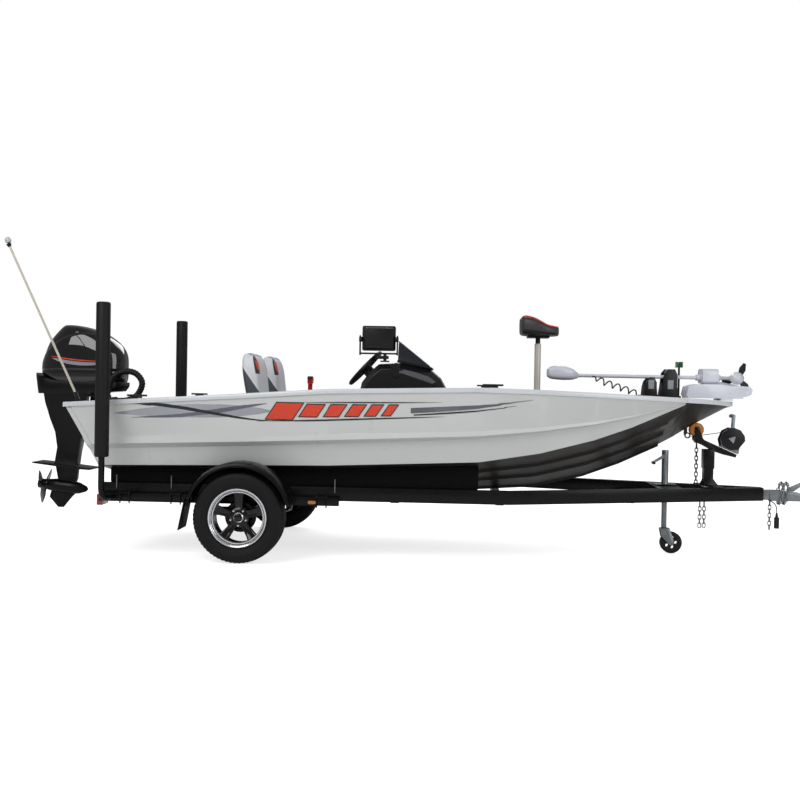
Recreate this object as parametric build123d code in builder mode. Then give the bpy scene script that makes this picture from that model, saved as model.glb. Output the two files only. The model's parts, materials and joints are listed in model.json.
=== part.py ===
from build123d import *
import math
import os

# A 4.95 m aluminium bass boat with its outboard and bow motor, standing on its single-axle trailer.
# Frame: +X to the bow, +Y to port, +Z up, millimetres. The ground is Z = 0, and the origin lies under
# the middle of the whole outline. Starboard is the -Y side.

os.makedirs("parts", exist_ok=True)

# Running gaps and seats
SEAT_GAP = 0.3

# Trailer wheels and axle
AXLE_X = -1207.0
TYRE_R = 323.5
TYRE_WIDTH = 205.0
RIM_R = 208.0
RIM_SEAT_R = 196.0
WHEEL_Y = 957.0
HUB_R = 44.0
SPINDLE_R = 20.0
LUG_CIRCLE_R = 57.15
LUG_COUNT = 5
SPOKE_COUNT = 5
AXLE_TUBE = 50.0
AXLE_OVERHANG = 70.0

# Trailer frame
RAIL_W = 50.0
RAIL_H = 100.0
RAIL_TOP = 530.0
RAIL_Y = 750.0
AXLE_TUBE_HALF = RAIL_Y + AXLE_OVERHANG
RAIL_AFT_X = -2268.0
RAIL_BEND_X = 705.0
RAIL_NOSE_X = 2710.0
RAIL_NOSE_Y = 26.0
CROSS_W = 60.0
CROSS_H = 40.0
CROSS_LOW_Z = 420.0
CROSS_XS = [-2230.0, -1560.0, -860.0, -120.0, 640.0, 1635.0]
SIDE_BEAM = 60.0
SIDE_BEAM_Y = 809.0
SIDE_BEAM_Z = 430.0
SIDE_BEAM_X = (-2268.0, -518.0)
FENDER_R = 395.0
FENDER_WIDTH = 236.0
FENDER_WALL = 4.0
FENDER_ARC = (14.0, 160.0)
BUNK_W = 50.0
BUNK_Y = 715.0
BUNK_X = (-2215.0, 484.0)

# Guide posts
POST_X = -2170.0
POST_Y = 1080.0
POST_TUBE_R = 22.0
POST_FOOT_Z = 470.0
PAD_R = 50.0
PAD_Z = (737.0, 1826.0)

# Bow stop, winch and jack
WINCH_POST_X = 2290.0
WINCH_POST_W = 80.0
ROLLER = (WINCH_POST_X - 95, 972.0)
ROLLER_R = 54.0
WINCH = (WINCH_POST_X + 166, 905.0)
DRUM_R = 60.0
JACK_X = 1959.0
JACK_TUBE_R = 26.0
JACK_TUBE_Z = (400.0, 800.0)
JACK_LEG_R = 21.0
JOCKEY_R = 84.0
JOCKEY_TRAIL = 55.0
BALL_BORE_R = 25.4
COUPLER_X = 2955.0

# Hull stations. Columns: x, keel z, chine half-breadth, chine z, gunwale half-breadth, gunwale z
HULL = [
    (-2560.0, 480.0, 815.0, 655.0, 925.0, 1112.0),
    (-1272.0, 480.0, 838.0, 679.0, 1000.0, 1195.0),
    (-591.0, 480.0, 842.0, 692.0, 1018.0, 1243.0),
    (484.0, 480.0, 832.0, 737.0, 1002.0, 1271.0),
    (921.0, 510.0, 775.0, 805.0, 950.0, 1262.0),
    (1312.0, 600.0, 705.0, 904.0, 880.0, 1248.0),
    (1593.0, 706.0, 640.0, 1000.0, 780.0, 1236.0),
    (1900.0, 850.0, 560.0, 1130.0, 625.0, 1224.0),
    (2015.0, 915.0, 524.0, 1178.0, 545.0, 1219.0),
]
# Forward of the chine's end the bottom plates run up to the bow cap. Columns: x, keel z, half-breadth, z
BOW = [
    (2165.0, 1010.0, 440.0, 1177.5),
    (2425.0, 1150.0, 150.0, 1159.0),
]
# Side panel profile, as shares of the way up from chine to gunwale. Columns: x, groove low, groove high,
# crease
SIDE_FORM = [
    (-2560.0, 0.27, 0.36, 0.51),
    (-591.0, 0.305, 0.362, 0.45),
    (921.0, 0.355, 0.39, 0.45),
    (2015.0, 0.36, 0.39, 0.45),
]
SIDE_WALL = 20.0
GUNWALE_W = 58.0
GUNWALE_H = 35.0
TRANSOM_TOP_X = -2507.0
TRANSOM_LOW_X = -2285.0
TRANSOM_WALL = 45.0
NOTCH_HALF = 300.0
NOTCH_Z = 1000.0
WELL_FLOOR_Z = 965.0
WELL_FRONT_X = -2040.0
FLOOR_Z = 750.0
FLOOR_PLATE = 10.0
REAR_DECK_Z = 1085.0
REAR_DECK_X = -1450.0
FRONT_DECK_Z = 1190.0
FRONT_DECK_X = 350.0
DECK_PLATE = 20.0
LID_GAP = 5.0
BULKHEAD_GAP = 3.0
BOW_TIP_X = 2440.0

# Console, wheel and seats
CONSOLE_Y = -450.0
CONSOLE_W = 520.0
STEER_HUB = (-372.0, 1403.0)
STEER_R = 172.0
STEER_RAKE = 43.0
SEAT_Y = 420.0
SEAT_W = 430.0
SEAT_HINGE = (-1160.0, 1070.0)
SEAT_FRONT_X = SEAT_HINGE[0] + 465
PEDESTAL_X = 949.0

# Bow motor: its shaft runs slantwise over the deck
TM_HINGE = (2540.0, -110.0, 1290.0)
TM_YAW = 9.6
TM_SHAFT_R = 14.0
TM_SHAFT_Z = 1376.0
TM_POD_R = 48.0
TM_PROP_R = 128.0

# Outboard, trimmed out a little
TILT = (-2480.0, 1095.0)
STEER_AXIS_X = -2600.0
STEER_AXIS_Z = 1000.0
TRIM = 6.0
COWL_W = 400.0
PROP_R = 156.0


def lerp(table, x, column):
    """Value of a column at x, along straight lines between the rows of the table."""
    for low, high in zip(table, table[1:]):
        if x <= high[0] or high is table[-1]:
            share = (x - low[0]) / (high[0] - low[0])
            return low[column] + share * (high[column] - low[column])


def side_outline(x):
    """Outer face of the side plate at x, from chine to gunwale, as (y, z) points."""
    chine_y, chine_z = lerp(HULL, x, 2), lerp(HULL, x, 3)
    top_y, top_z = lerp(HULL, x, 4), lerp(HULL, x, 5) - GUNWALE_H
    flare, rise = top_y - chine_y, top_z - chine_z
    low, high, crease = (lerp(SIDE_FORM, x, column) for column in (1, 2, 3))
    return [
        (chine_y, chine_z),
        (chine_y + 0.18 * flare, chine_z + low * rise),
        (chine_y + 0.52 * flare, chine_z + high * rise),
        (chine_y + 0.46 * flare, chine_z + crease * rise),
        (top_y, top_z),
    ]


def inner_breadth(x, z):
    """Half-breadth inside the side plates at x and height z."""
    points = side_outline(x)
    if z <= points[0][1]:
        return points[0][0] - SIDE_WALL
    for low, high in zip(points, points[1:]):
        if z <= high[1]:
            share = (z - low[1]) / (high[1] - low[1])
            return low[0] + share * (high[0] - low[0]) - SIDE_WALL
    return points[-1][0] - SIDE_WALL


def bottom_z(x, y):
    """Height of the bottom plate at x, y."""
    keel, chine_y, chine_z = lerp(HULL, x, 1), lerp(HULL, x, 2), lerp(HULL, x, 3)
    return keel + (chine_z - keel) * abs(y) / chine_y


def transom_x(z):
    """Outer face of the raked transom at height z."""
    chine_z = 661.0
    top_z = 1117.0
    rake = (TRANSOM_LOW_X - TRANSOM_TOP_X) / (top_z - chine_z)
    return TRANSOM_TOP_X + (top_z - z) * rake


def rail_y(x):
    """Distance of a rail's centre line from the middle of the trailer."""
    if x <= RAIL_BEND_X:
        return RAIL_Y
    share = (x - RAIL_BEND_X) / (RAIL_NOSE_X - RAIL_BEND_X)
    return RAIL_Y + share * (RAIL_NOSE_Y - RAIL_Y)


def keep(piece, label):
    """Label a finished piece and write it to its own file."""
    piece.part.label = label
    export_step(piece.part, f"parts/{label}.step")


def at_station(x):
    """Upright section plane at x: its sketches run in y and z."""
    return Plane(origin=(x, 0, 0), x_dir=(0, 1, 0), z_dir=(1, 0, 0))


def beside(y):
    """Upright plane along the boat at y: its sketches run in x and z."""
    return Plane(origin=(0, y, 0), x_dir=(1, 0, 0), z_dir=(0, -1, 0))


AFT_OF_TRANSOM = [
    (transom_x(400.0) + TRANSOM_WALL, 400.0),
    (transom_x(1400.0) + TRANSOM_WALL, 1400.0),
    (-2900.0, 1400.0),
    (-2900.0, 400.0),
]


# Planing strakes. Columns: share of the way from keel to chine, height
STRAKES = [(0.0, 14.0), (0.36, 12.0), (0.68, 12.0)]
STRAKE_XS = (-2120.0, 484.0, 921.0, 1312.0, 1593.0, 1900.0)
STRAKE_HALF = 11.0
BOW_EYE = (2128.0, 925.0)

# Hull bottom: the V plates with the sealed space under the floor, the bow plates, the keel bar and
# strakes, and the bow eye
with BuildPart() as hull_bottom:
    for x, keel, chine_y, chine_z, _, _ in HULL:
        top = max(chine_z + 2.0, FLOOR_Z - FLOOR_PLATE - SEAT_GAP)
        ledge_y = chine_y - SIDE_WALL - SEAT_GAP
        ledge_z = chine_z - SEAT_GAP
        with BuildSketch(at_station(x)):
            with BuildLine():
                Polyline(
                    (0, keel), (chine_y, ledge_z), (ledge_y, ledge_z), (ledge_y, top),
                    (-ledge_y, top), (-ledge_y, ledge_z), (-chine_y, ledge_z), (0, keel),
                )
            make_face()
    loft(ruled=True)
    with BuildSketch(beside(0)):
        with BuildLine():
            Polyline(*AFT_OF_TRANSOM, close=True)
        make_face()
    extrude(amount=1200, both=True, mode=Mode.SUBTRACT)
    last = HULL[-1]
    for x, keel, half, top in [(last[0], last[1], last[2], last[5] - GUNWALE_H - SEAT_GAP)] + BOW:
        with BuildSketch(at_station(x)):
            with BuildLine():
                Polyline((0, keel), (half, top), (-half, top), close=True)
            make_face()
    loft(ruled=True)
    for share, height in STRAKES:
        for side in ([1] if share == 0.0 else [1, -1]):
            for x in STRAKE_XS:
                y = share * lerp(HULL, x, 2)
                low, high = bottom_z(x, max(y - STRAKE_HALF, 0.0)), bottom_z(x, y + STRAKE_HALF)
                with BuildSketch(at_station(x)):
                    with BuildLine():
                        Polyline(
                            (side * y - STRAKE_HALF, high + 6), (side * y + STRAKE_HALF, high + 6),
                            (side * y + STRAKE_HALF * 0.6, low - height),
                            (side * y - STRAKE_HALF * 0.6, low - height),
                            close=True,
                        )
                    make_face()
            loft(ruled=True)
    with BuildSketch(beside(0)):
        with Locations(BOW_EYE):
            Circle(24)
        with Locations((BOW_EYE[0] - 16, BOW_EYE[1] + 34)):
            Rectangle(26, 60)
        with Locations(BOW_EYE):
            Circle(14, mode=Mode.SUBTRACT)
    extrude(amount=7, both=True)
keep(hull_bottom, "hull_bottom")

# Side plates with their groove and crease
for side, label in ((1, "side_plate_port"), (-1, "side_plate_starboard")):
    with BuildPart() as side_plate:
        for row in HULL[:-1] + [(1995.0,)]:
            outer = side_outline(row[0])
            inner = [(y - SIDE_WALL, z) for y, z in reversed(outer)]
            with BuildSketch(at_station(row[0])):
                with BuildLine():
                    Polyline(*[(side * y, z) for y, z in outer + inner], close=True)
                make_face()
        loft(ruled=True)
        with BuildSketch(beside(0)):
            with BuildLine():
                Polyline(*AFT_OF_TRANSOM, close=True)
            make_face()
        extrude(amount=1200, both=True, mode=Mode.SUBTRACT)
    keep(side_plate, label)

# Raked transom with the notch for the outboard
with BuildPart() as transom:
    stern = side_outline(TRANSOM_TOP_X)
    with BuildSketch(at_station(-2700.0)):
        with BuildLine():
            Polyline(
                (0, lerp(HULL, TRANSOM_TOP_X, 1)), *stern, (NOTCH_HALF + 60, stern[-1][1]),
                (NOTCH_HALF, NOTCH_Z), (-NOTCH_HALF, NOTCH_Z), (-NOTCH_HALF - 60, stern[-1][1]),
                *[(-y, z) for y, z in reversed(stern)], close=True,
            )
        make_face()
    extrude(amount=700)
    with BuildSketch(beside(0)):
        with BuildLine():
            Polyline(
                (transom_x(400.0), 400.0), (transom_x(1400.0), 1400.0),
                (transom_x(1400.0) + TRANSOM_WALL - SEAT_GAP, 1400.0),
                (transom_x(400.0) + TRANSOM_WALL - SEAT_GAP, 400.0), close=True,
            )
        make_face()
    extrude(amount=1200, both=True, mode=Mode.INTERSECT)
keep(transom, "transom")

# Bow cap. Columns: x, half-breadth, top z
BOW_CAP = [
    (HULL[-1][0] + SEAT_GAP, HULL[-1][4] + 8.0, HULL[-1][5]),
    (2165.0, 448.0, 1213.0),
    (2400.0, 190.0, 1198.0),
    (BOW_TIP_X, 120.0, 1196.0),
]

# Gunwale extrusions along both sides and across the stern, and the bow cap
with BuildPart() as gunwales:
    for side in (1, -1):
        for x in [row[0] for row in HULL[1:]]:
            y, z = lerp(HULL, x, 4), lerp(HULL, x, 5)
            with BuildSketch(at_station(x)):
                with BuildLine():
                    Polyline(
                        (side * (y + 8), z - 10), (side * (y + 2), z), (side * (y - GUNWALE_W), z),
                        (side * (y - GUNWALE_W), z - 12), (side * (y - SIDE_WALL - 4), z - 12),
                        (side * (y - SIDE_WALL - 4), z - GUNWALE_H + SEAT_GAP),
                        (side * (y + 8), z - GUNWALE_H + SEAT_GAP), close=True,
                    )
                make_face()
        loft(ruled=True)
        for x in (TRANSOM_TOP_X, HULL[1][0]):
            y, z = lerp(HULL, x, 4), lerp(HULL, x, 5)
            with BuildSketch(at_station(x)):
                with BuildLine():
                    Polyline(
                        (side * (y + 8), z - 10), (side * (y + 2), z), (side * (y - GUNWALE_W), z),
                        (side * (y - GUNWALE_W), z - 12), (side * (y - SIDE_WALL - 4), z - 12),
                        (side * (y - SIDE_WALL - 4), z - GUNWALE_H + SEAT_GAP),
                        (side * (y + 8), z - GUNWALE_H + SEAT_GAP), close=True,
                    )
                make_face()
        loft(ruled=True)
    stern_top = lerp(HULL, TRANSOM_TOP_X, 5)
    for side in (1, -1):
        with BuildSketch(Plane.XY.offset(stern_top - GUNWALE_H + SEAT_GAP)):
            with BuildLine():
                Polyline(
                    (TRANSOM_TOP_X, side * (NOTCH_HALF + 62)), (TRANSOM_TOP_X, side * 880),
                    (TRANSOM_TOP_X + 58, side * 880), (TRANSOM_TOP_X + 58, side * (NOTCH_HALF + 62)),
                    close=True,
                )
            make_face()
        extrude(amount=GUNWALE_H - SEAT_GAP)
    # bow cap
    for x, half, top in BOW_CAP:
        with BuildSketch(at_station(x)):
            with Locations((0, top - GUNWALE_H / 2)):
                Rectangle(2 * half, GUNWALE_H)
    loft(ruled=True)
keep(gunwales, "gunwales")


def deck_outline(xs, z, gap=SEAT_GAP):
    """Plan outline of a level plate fitted between the side plates."""
    half = [(x, inner_breadth(x, z) - gap) for x in xs]
    return half + [(x, -y) for x, y in reversed(half)]


def bulkhead_edge(x, top):
    """Edge of a bulkhead at x from the floor to the deck, along the inside of the side plate."""
    heights = [z for _, z in side_outline(x) if FLOOR_Z + 20.0 < z < top]
    return [(inner_breadth(x, z) - BULKHEAD_GAP, z) for z in [FLOOR_Z + SEAT_GAP] + heights + [top]]


# Lids. Columns: name, x low, x high, y low, y high, hinge side
LIDS = {
    "lid_rear_port": (-1960.0, -1520.0, 120.0, 700.0, "outer"),
    "lid_rear_starboard": (-1960.0, -1520.0, -700.0, -120.0, "outer"),
    "lid_front_port": (450.0, 1250.0, 130.0, 700.0, "outer"),
    "lid_front_starboard": (450.0, 1250.0, -700.0, -430.0, "outer"),
}
FRONT_XS = [FRONT_DECK_X, 484.0, 921.0, 1312.0, 1593.0, 1900.0, 1975.0]
REAR_XS = [transom_x(REAR_DECK_Z) + TRANSOM_WALL + 1.0, REAR_DECK_X]

# Front casting deck with its lid openings and the bulkhead at the cockpit
with BuildPart() as front_deck:
    with BuildSketch(Plane.XY.offset(FRONT_DECK_Z - DECK_PLATE)):
        with BuildLine():
            Polyline(*deck_outline(FRONT_XS, FRONT_DECK_Z - DECK_PLATE, 5.0), close=True)
        make_face()
        for label in ("lid_front_port", "lid_front_starboard"):
            x0, x1, y0, y1, _ = LIDS[label]
            with Locations(((x0 + x1) / 2, (y0 + y1) / 2)):
                Rectangle(x1 - x0, y1 - y0, mode=Mode.SUBTRACT)
    extrude(amount=DECK_PLATE)
    with BuildSketch(at_station(FRONT_DECK_X)):
        with BuildLine():
            edge = bulkhead_edge(FRONT_DECK_X, FRONT_DECK_Z - DECK_PLATE / 2)
            Polyline(*edge, *[(-y, z) for y, z in reversed(edge)], close=True)
        make_face()
    extrude(amount=DECK_PLATE)
keep(front_deck, "front_deck")

# Rigging hose between two boots, in one loop beside the engine
HOSE_Y = -345.0
HOSE_R = 25.0
HOSE_BOOT = 88.0
HOSE_ROUTE = [(-2300.0, 1120.0), (-2215.0, 1128.0), (-2128.0, 1176.0), (-2104.0, 1268.0), (-2158.0, 1338.0),
              (-2248.0, 1352.0), (-2326.0, 1312.0), (-2366.0, 1238.0), (-2378.0, 1166.0)]


def turned_radii(points):
    """Arc radius at each inner point: as large as the two runs beside it allow."""
    radii = []
    for before, corner, after in zip(points, points[1:], points[2:]):
        run_in = Vector(*corner) - Vector(*before)
        run_out = Vector(*after) - Vector(*corner)
        turn = math.radians(run_in.get_angle(run_out))
        radii.append(0.45 * min(run_in.length, run_out.length) / math.tan(turn / 2))
    return radii


def cord_path(route):
    """Straight runs along the route, joined by arcs."""
    with BuildLine() as path:
        FilletPolyline(*route, radius=turned_radii(route))
    return path.line


def round_end(path, radius):
    """Round section at the start of a path."""
    with BuildSketch(Plane(origin=path @ 0, z_dir=path % 0)) as section:
        Circle(radius)
    return section.sketch


hose_path = cord_path([(x, HOSE_Y, z) for x, z in HOSE_ROUTE])
with BuildPart() as rigging_hose:
    sweep(round_end(hose_path, HOSE_R), path=hose_path)
keep(rigging_hose, "rigging_hose")

# Rear deck with lid openings, splash well and bulkhead
with BuildPart() as rear_deck:
    with BuildSketch(Plane.XY.offset(REAR_DECK_Z - DECK_PLATE)):
        with BuildLine():
            Polyline(*deck_outline(REAR_XS, REAR_DECK_Z - DECK_PLATE, 2.0), close=True)
        make_face()
        for label in ("lid_rear_port", "lid_rear_starboard"):
            x0, x1, y0, y1, _ = LIDS[label]
            with Locations(((x0 + x1) / 2, (y0 + y1) / 2)):
                Rectangle(x1 - x0, y1 - y0, mode=Mode.SUBTRACT)
    extrude(amount=DECK_PLATE)
    well_aft = transom_x(REAR_DECK_Z) - 60.0
    well_mid = (WELL_FRONT_X + well_aft) / 2
    well_length = WELL_FRONT_X - well_aft
    with BuildSketch(Plane.XY.offset(WELL_FLOOR_Z - DECK_PLATE)):
        with Locations((well_mid, 0)):
            Rectangle(well_length + 30, 2 * NOTCH_HALF + 30)
    extrude(amount=REAR_DECK_Z - WELL_FLOOR_Z + DECK_PLATE)
    with BuildSketch(Plane.XY.offset(WELL_FLOOR_Z)):
        with Locations((well_mid, 0)):
            Rectangle(well_length, 2 * NOTCH_HALF)
    extrude(amount=300, mode=Mode.SUBTRACT)
    with BuildSketch(at_station(REAR_DECK_X - DECK_PLATE)):
        with BuildLine():
            edge = bulkhead_edge(REAR_DECK_X, REAR_DECK_Z - DECK_PLATE / 2)
            Polyline(*edge, *[(-y, z) for y, z in reversed(edge)], close=True)
        make_face()
    extrude(amount=DECK_PLATE)
    with BuildSketch(beside(0)):
        with BuildLine():
            Polyline(
                (transom_x(400.0) + TRANSOM_WALL + SEAT_GAP, 400.0),
                (transom_x(1400.0) + TRANSOM_WALL + SEAT_GAP, 1400.0),
                (-2900.0, 1400.0), (-2900.0, 400.0), close=True,
            )
        make_face()
    extrude(amount=1200, both=True, mode=Mode.SUBTRACT)
    # boots at both ends of the rigging hose
    for share, out in ((0, -1), (1, 1)):
        face = (hose_path @ share) + (hose_path % share) * (out * SEAT_GAP)
        with BuildSketch(Plane(origin=face, z_dir=(hose_path % share) * out)):
            Circle(HOSE_R + 7)
        extrude(amount=HOSE_BOOT)
    with BuildSketch(Plane.XY.offset(REAR_DECK_Z - 2)):
        with Locations((HOSE_ROUTE[0][0] - 34, HOSE_Y)):
            Rectangle(60, 52)
    extrude(amount=30)
keep(rear_deck, "rear_deck")

# Cockpit floor
with BuildPart() as cockpit_floor:
    with BuildSketch(Plane.XY.offset(FLOOR_Z - FLOOR_PLATE)):
        with BuildLine():
            Polyline(
                *deck_outline([-2290.0, -1272.0, -591.0, 484.0], FLOOR_Z - FLOOR_PLATE, 2.0), close=True
            )
        make_face()
    extrude(amount=FLOOR_PLATE)
    with BuildSketch(beside(0)):
        with BuildLine():
            Polyline(*[(x + SEAT_GAP, z) for x, z in AFT_OF_TRANSOM], close=True)
        make_face()
    extrude(amount=1200, both=True, mode=Mode.SUBTRACT)
keep(cockpit_floor, "cockpit_floor")

# Deck lids with their turned-down stiffening edges and hinge knuckles
for label, (x0, x1, y0, y1, hinge) in LIDS.items():
    deck_z = REAR_DECK_Z if "rear" in label else FRONT_DECK_Z
    length, width = x1 - x0 - 2 * LID_GAP, y1 - y0 - 2 * LID_GAP
    with BuildPart() as lid:
        with BuildSketch(Plane.XY.offset(deck_z - DECK_PLATE)):
            with Locations(((x0 + x1) / 2, (y0 + y1) / 2)):
                RectangleRounded(length, width, 8)
        extrude(amount=DECK_PLATE)
        with BuildSketch(Plane.XY.offset(deck_z - DECK_PLATE)):
            with Locations(((x0 + x1) / 2, (y0 + y1) / 2)):
                RectangleRounded(length - 24, width - 24, 6)
        extrude(amount=DECK_PLATE - 5, mode=Mode.SUBTRACT)
        with BuildSketch(Plane.XY.offset(deck_z - 8)):
            with Locations(((x0 + x1) / 2, (y0 + y1) / 2 - 0.3 * width)):
                RectangleRounded(70, 34, 8)
        extrude(amount=8, mode=Mode.SUBTRACT)
    keep(lid, label)

# Cleats on both gunwales
with BuildPart() as cleats:
    for x in (-1967.0, 569.0):
        for side in (1, -1):
            rise = abs(lerp(HULL, x + 40, 5) - lerp(HULL, x - 40, 5)) / 2
            top = lerp(HULL, x, 5) + rise + SEAT_GAP
            y = side * (lerp(HULL, x, 4) - 26)
            with BuildSketch(Plane.XY.offset(top)):
                with Locations((x, y)):
                    SlotOverall(74, 26)
            extrude(amount=14)
            with BuildSketch(Plane.XY.offset(top + 12)):
                with Locations((x, y)):
                    SlotOverall(146, 18)
            extrude(amount=14)
keep(cleats, "cleats")

# Navigation lights: the stern light on its slanting pole, and the two-colour light at the bow
LIGHT_FOOT = (-2476.0, -690.0, 1120.0)
LIGHT_TOP = (-3021.0, -690.0, 2272.0)
BOW_LIGHT_X = 2052.0
with BuildPart() as nav_lights:
    reach = Vector(*LIGHT_TOP) - Vector(*LIGHT_FOOT)
    pole_plane = Plane(origin=LIGHT_FOOT, z_dir=reach)
    with BuildSketch(Plane.XY.offset(stern_top + SEAT_GAP)):
        with Locations((LIGHT_FOOT[0], LIGHT_FOOT[1])):
            Circle(28)
    extrude(amount=18)
    with BuildSketch(pole_plane.offset(2)):
        Circle(14)
    extrude(amount=70)
    with BuildSketch(pole_plane.offset(20)):
        Circle(8.5)
    extrude(amount=reach.length - 30)
    with BuildSketch(pole_plane.offset(reach.length - 18)):
        Circle(12)
    extrude(amount=22, taper=-18)
    with Locations((LIGHT_TOP[0] - 7, LIGHT_TOP[1], LIGHT_TOP[2] + 31)):
        Sphere(24)
    bow_top = lerp(BOW_CAP, BOW_LIGHT_X, 2)
    with BuildSketch(Plane.XY.offset(bow_top + 1)):
        with Locations((BOW_LIGHT_X, 0)):
            Circle(20)
    extrude(amount=14)
    with BuildSketch(Plane.XY.offset(bow_top + 8)):
        with Locations((BOW_LIGHT_X, 0)):
            Circle(8)
    extrude(amount=1460 - bow_top)
    with BuildSketch(Plane.XY.offset(1455)):
        with Locations((BOW_LIGHT_X, 0)):
            RectangleRounded(52, 64, 10)
    extrude(amount=44)
keep(nav_lights, "nav_lights")

# Console moulding with the steering column: its side outline narrows towards both sides
column_dir = Vector(math.cos(math.radians(STEER_RAKE)), 0, -math.sin(math.radians(STEER_RAKE)))
wheel_plane = Plane(origin=(STEER_HUB[0], CONSOLE_Y, STEER_HUB[1]), x_dir=(0, 1, 0), z_dir=column_dir)
CONSOLE_SIDE = [
    (-410.0, FLOOR_Z + SEAT_GAP), (-410.0, 1190.0), (-386.0, 1300.0), (-330.0, 1375.0), (-262.0, 1436.0),
    (-100.0, 1446.0), (121.0, 1399.0), (198.0, 1335.0), (238.0, 1262.0), (240.0, 1190.0),
    (240.0, FLOOR_Z + SEAT_GAP),
]
with BuildPart() as console:
    for offset, inset in ((-260.0, 46.0), (-200.0, 8.0), (0.0, 0.0), (200.0, 8.0), (260.0, 46.0)):
        with BuildSketch(beside(CONSOLE_Y + offset)):
            with BuildLine():
                Polyline(
                    *[(-85 + (x + 85) * (1 - inset / 400), z - inset * max(0.0, (z - 1000) / 446))
                      for x, z in CONSOLE_SIDE], close=True,
                )
            make_face()
    loft(ruled=True)
    with BuildSketch(Plane.XY.offset(FLOOR_Z)):
        with Locations((-85, CONSOLE_Y)):
            Rectangle(520, 440)
    extrude(amount=500, mode=Mode.SUBTRACT)
    with BuildSketch(beside(CONSOLE_Y - CONSOLE_W / 2 + 8)):
        with Locations((-127.0, 1385.0)):
            SlotOverall(110, 52, rotation=90)
    extrude(amount=14)
    with BuildSketch(wheel_plane.offset(26 + SEAT_GAP)):
        Circle(42)
    extrude(amount=62)
keep(console, "console")

# Smoked windshield: a slanting pane with a triangular cheek at each side
PANE = 5.0
SHIELD = [(-118.0, 1458.0), (-112.0, 1602.0), (126.0, 1412.0)]
SHIELD_CUT = [(-130.0, 1440.0), (-130.0, 1610.0), (-111.0, 1594.0), (113.0, 1415.0), (126.0, 1380.0)]
with BuildPart() as windshield:
    with BuildSketch(beside(CONSOLE_Y)):
        with BuildLine():
            Polyline(*SHIELD, close=True)
        make_face()
    extrude(amount=205, both=True)
    with BuildSketch(beside(CONSOLE_Y)):
        with BuildLine():
            Polyline(*SHIELD_CUT, close=True)
        make_face()
    extrude(amount=205 - PANE, both=True, mode=Mode.SUBTRACT)
keep(windshield, "windshield")

# Display on its bracket: foot, post, cradle bar and two ears with knobs
DISPLAY_MID = (-262.0, -628.0, 1620.0)
with BuildPart() as display:
    with BuildSketch(beside(DISPLAY_MID[1] + 32)):
        with Locations((DISPLAY_MID[0], DISPLAY_MID[2])):
            RectangleRounded(246, 184, 14)
    extrude(amount=22)
    with BuildSketch(beside(DISPLAY_MID[1] + 10)):
        with Locations((DISPLAY_MID[0] + 4, DISPLAY_MID[2])):
            RectangleRounded(222, 160, 12)
    extrude(amount=42, taper=8)
    with BuildSketch(Plane.XY.offset(1502.0)):
        with Locations((DISPLAY_MID[0], DISPLAY_MID[1])):
            RectangleRounded(284, 34, 8)
    extrude(amount=12)
    for side in (1, -1):
        with BuildSketch(at_station(DISPLAY_MID[0] + side * 137 - 5)):
            with Locations((DISPLAY_MID[1], 1568.0)):
                SlotOverall(146, 34, rotation=90)
        extrude(amount=10)
        with Locations(Location((DISPLAY_MID[0] + side * 134, DISPLAY_MID[1], 1612.0), (0, 90, 0))):
            Cylinder(19, 22)
    with BuildSketch(Plane.XY.offset(1446.0 + SEAT_GAP)):
        with Locations((-215.0, DISPLAY_MID[1])):
            Circle(34)
    extrude(amount=10)
    with BuildSketch(Plane.XY.offset(1452.0)):
        with Locations((-215.0, DISPLAY_MID[1])):
            Circle(12)
    extrude(amount=54)
    with BuildSketch(Plane.XY.offset(1468.0)):
        with Locations((-235.0, DISPLAY_MID[1])):
            SlotOverall(96, 30)
    extrude(amount=24)
keep(display, "display")

# Steering wheel, leaning with its top forward
with BuildPart() as steering_wheel:
    with BuildSketch(Plane(origin=wheel_plane.origin, x_dir=(0, 1, 0), z_dir=wheel_plane.y_dir)):
        with Locations((STEER_R - 14, 0)):
            Circle(14)
    revolve(axis=Axis(wheel_plane.origin, wheel_plane.z_dir))
    with BuildSketch(wheel_plane.offset(-8)):
        for angle in (0, 180, 270):
            with Locations(Location((0, 0, 0), angle)):
                with Locations((STEER_R / 2 - 8, 0)):
                    Rectangle(STEER_R - 20, 30)
    extrude(amount=10)
    with BuildSketch(wheel_plane.offset(-12)):
        Circle(40)
    extrude(amount=38)
keep(steering_wheel, "steering_wheel")

# Throttle box on a bracket from the side plate, with its lever
with BuildPart() as throttle_box:
    with BuildSketch(beside(-770.0)):
        with BuildLine():
            Polyline((-800, 1060), (-800, 1150), (-770, 1185), (-700, 1185), (-660, 1130), (-660, 1060),
                     close=True)
        make_face()
    extrude(amount=160)
    with BuildSketch(beside(-790.0)):
        with Locations(Location((-742, 1225), 4)):
            Rectangle(16, 130)
    extrude(amount=12)
    with BuildSketch(beside(-758.0)):
        with Locations((-740, 1300)):
            SlotOverall(60, 36, rotation=86)
    extrude(amount=66)
keep(throttle_box, "throttle_box")

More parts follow.
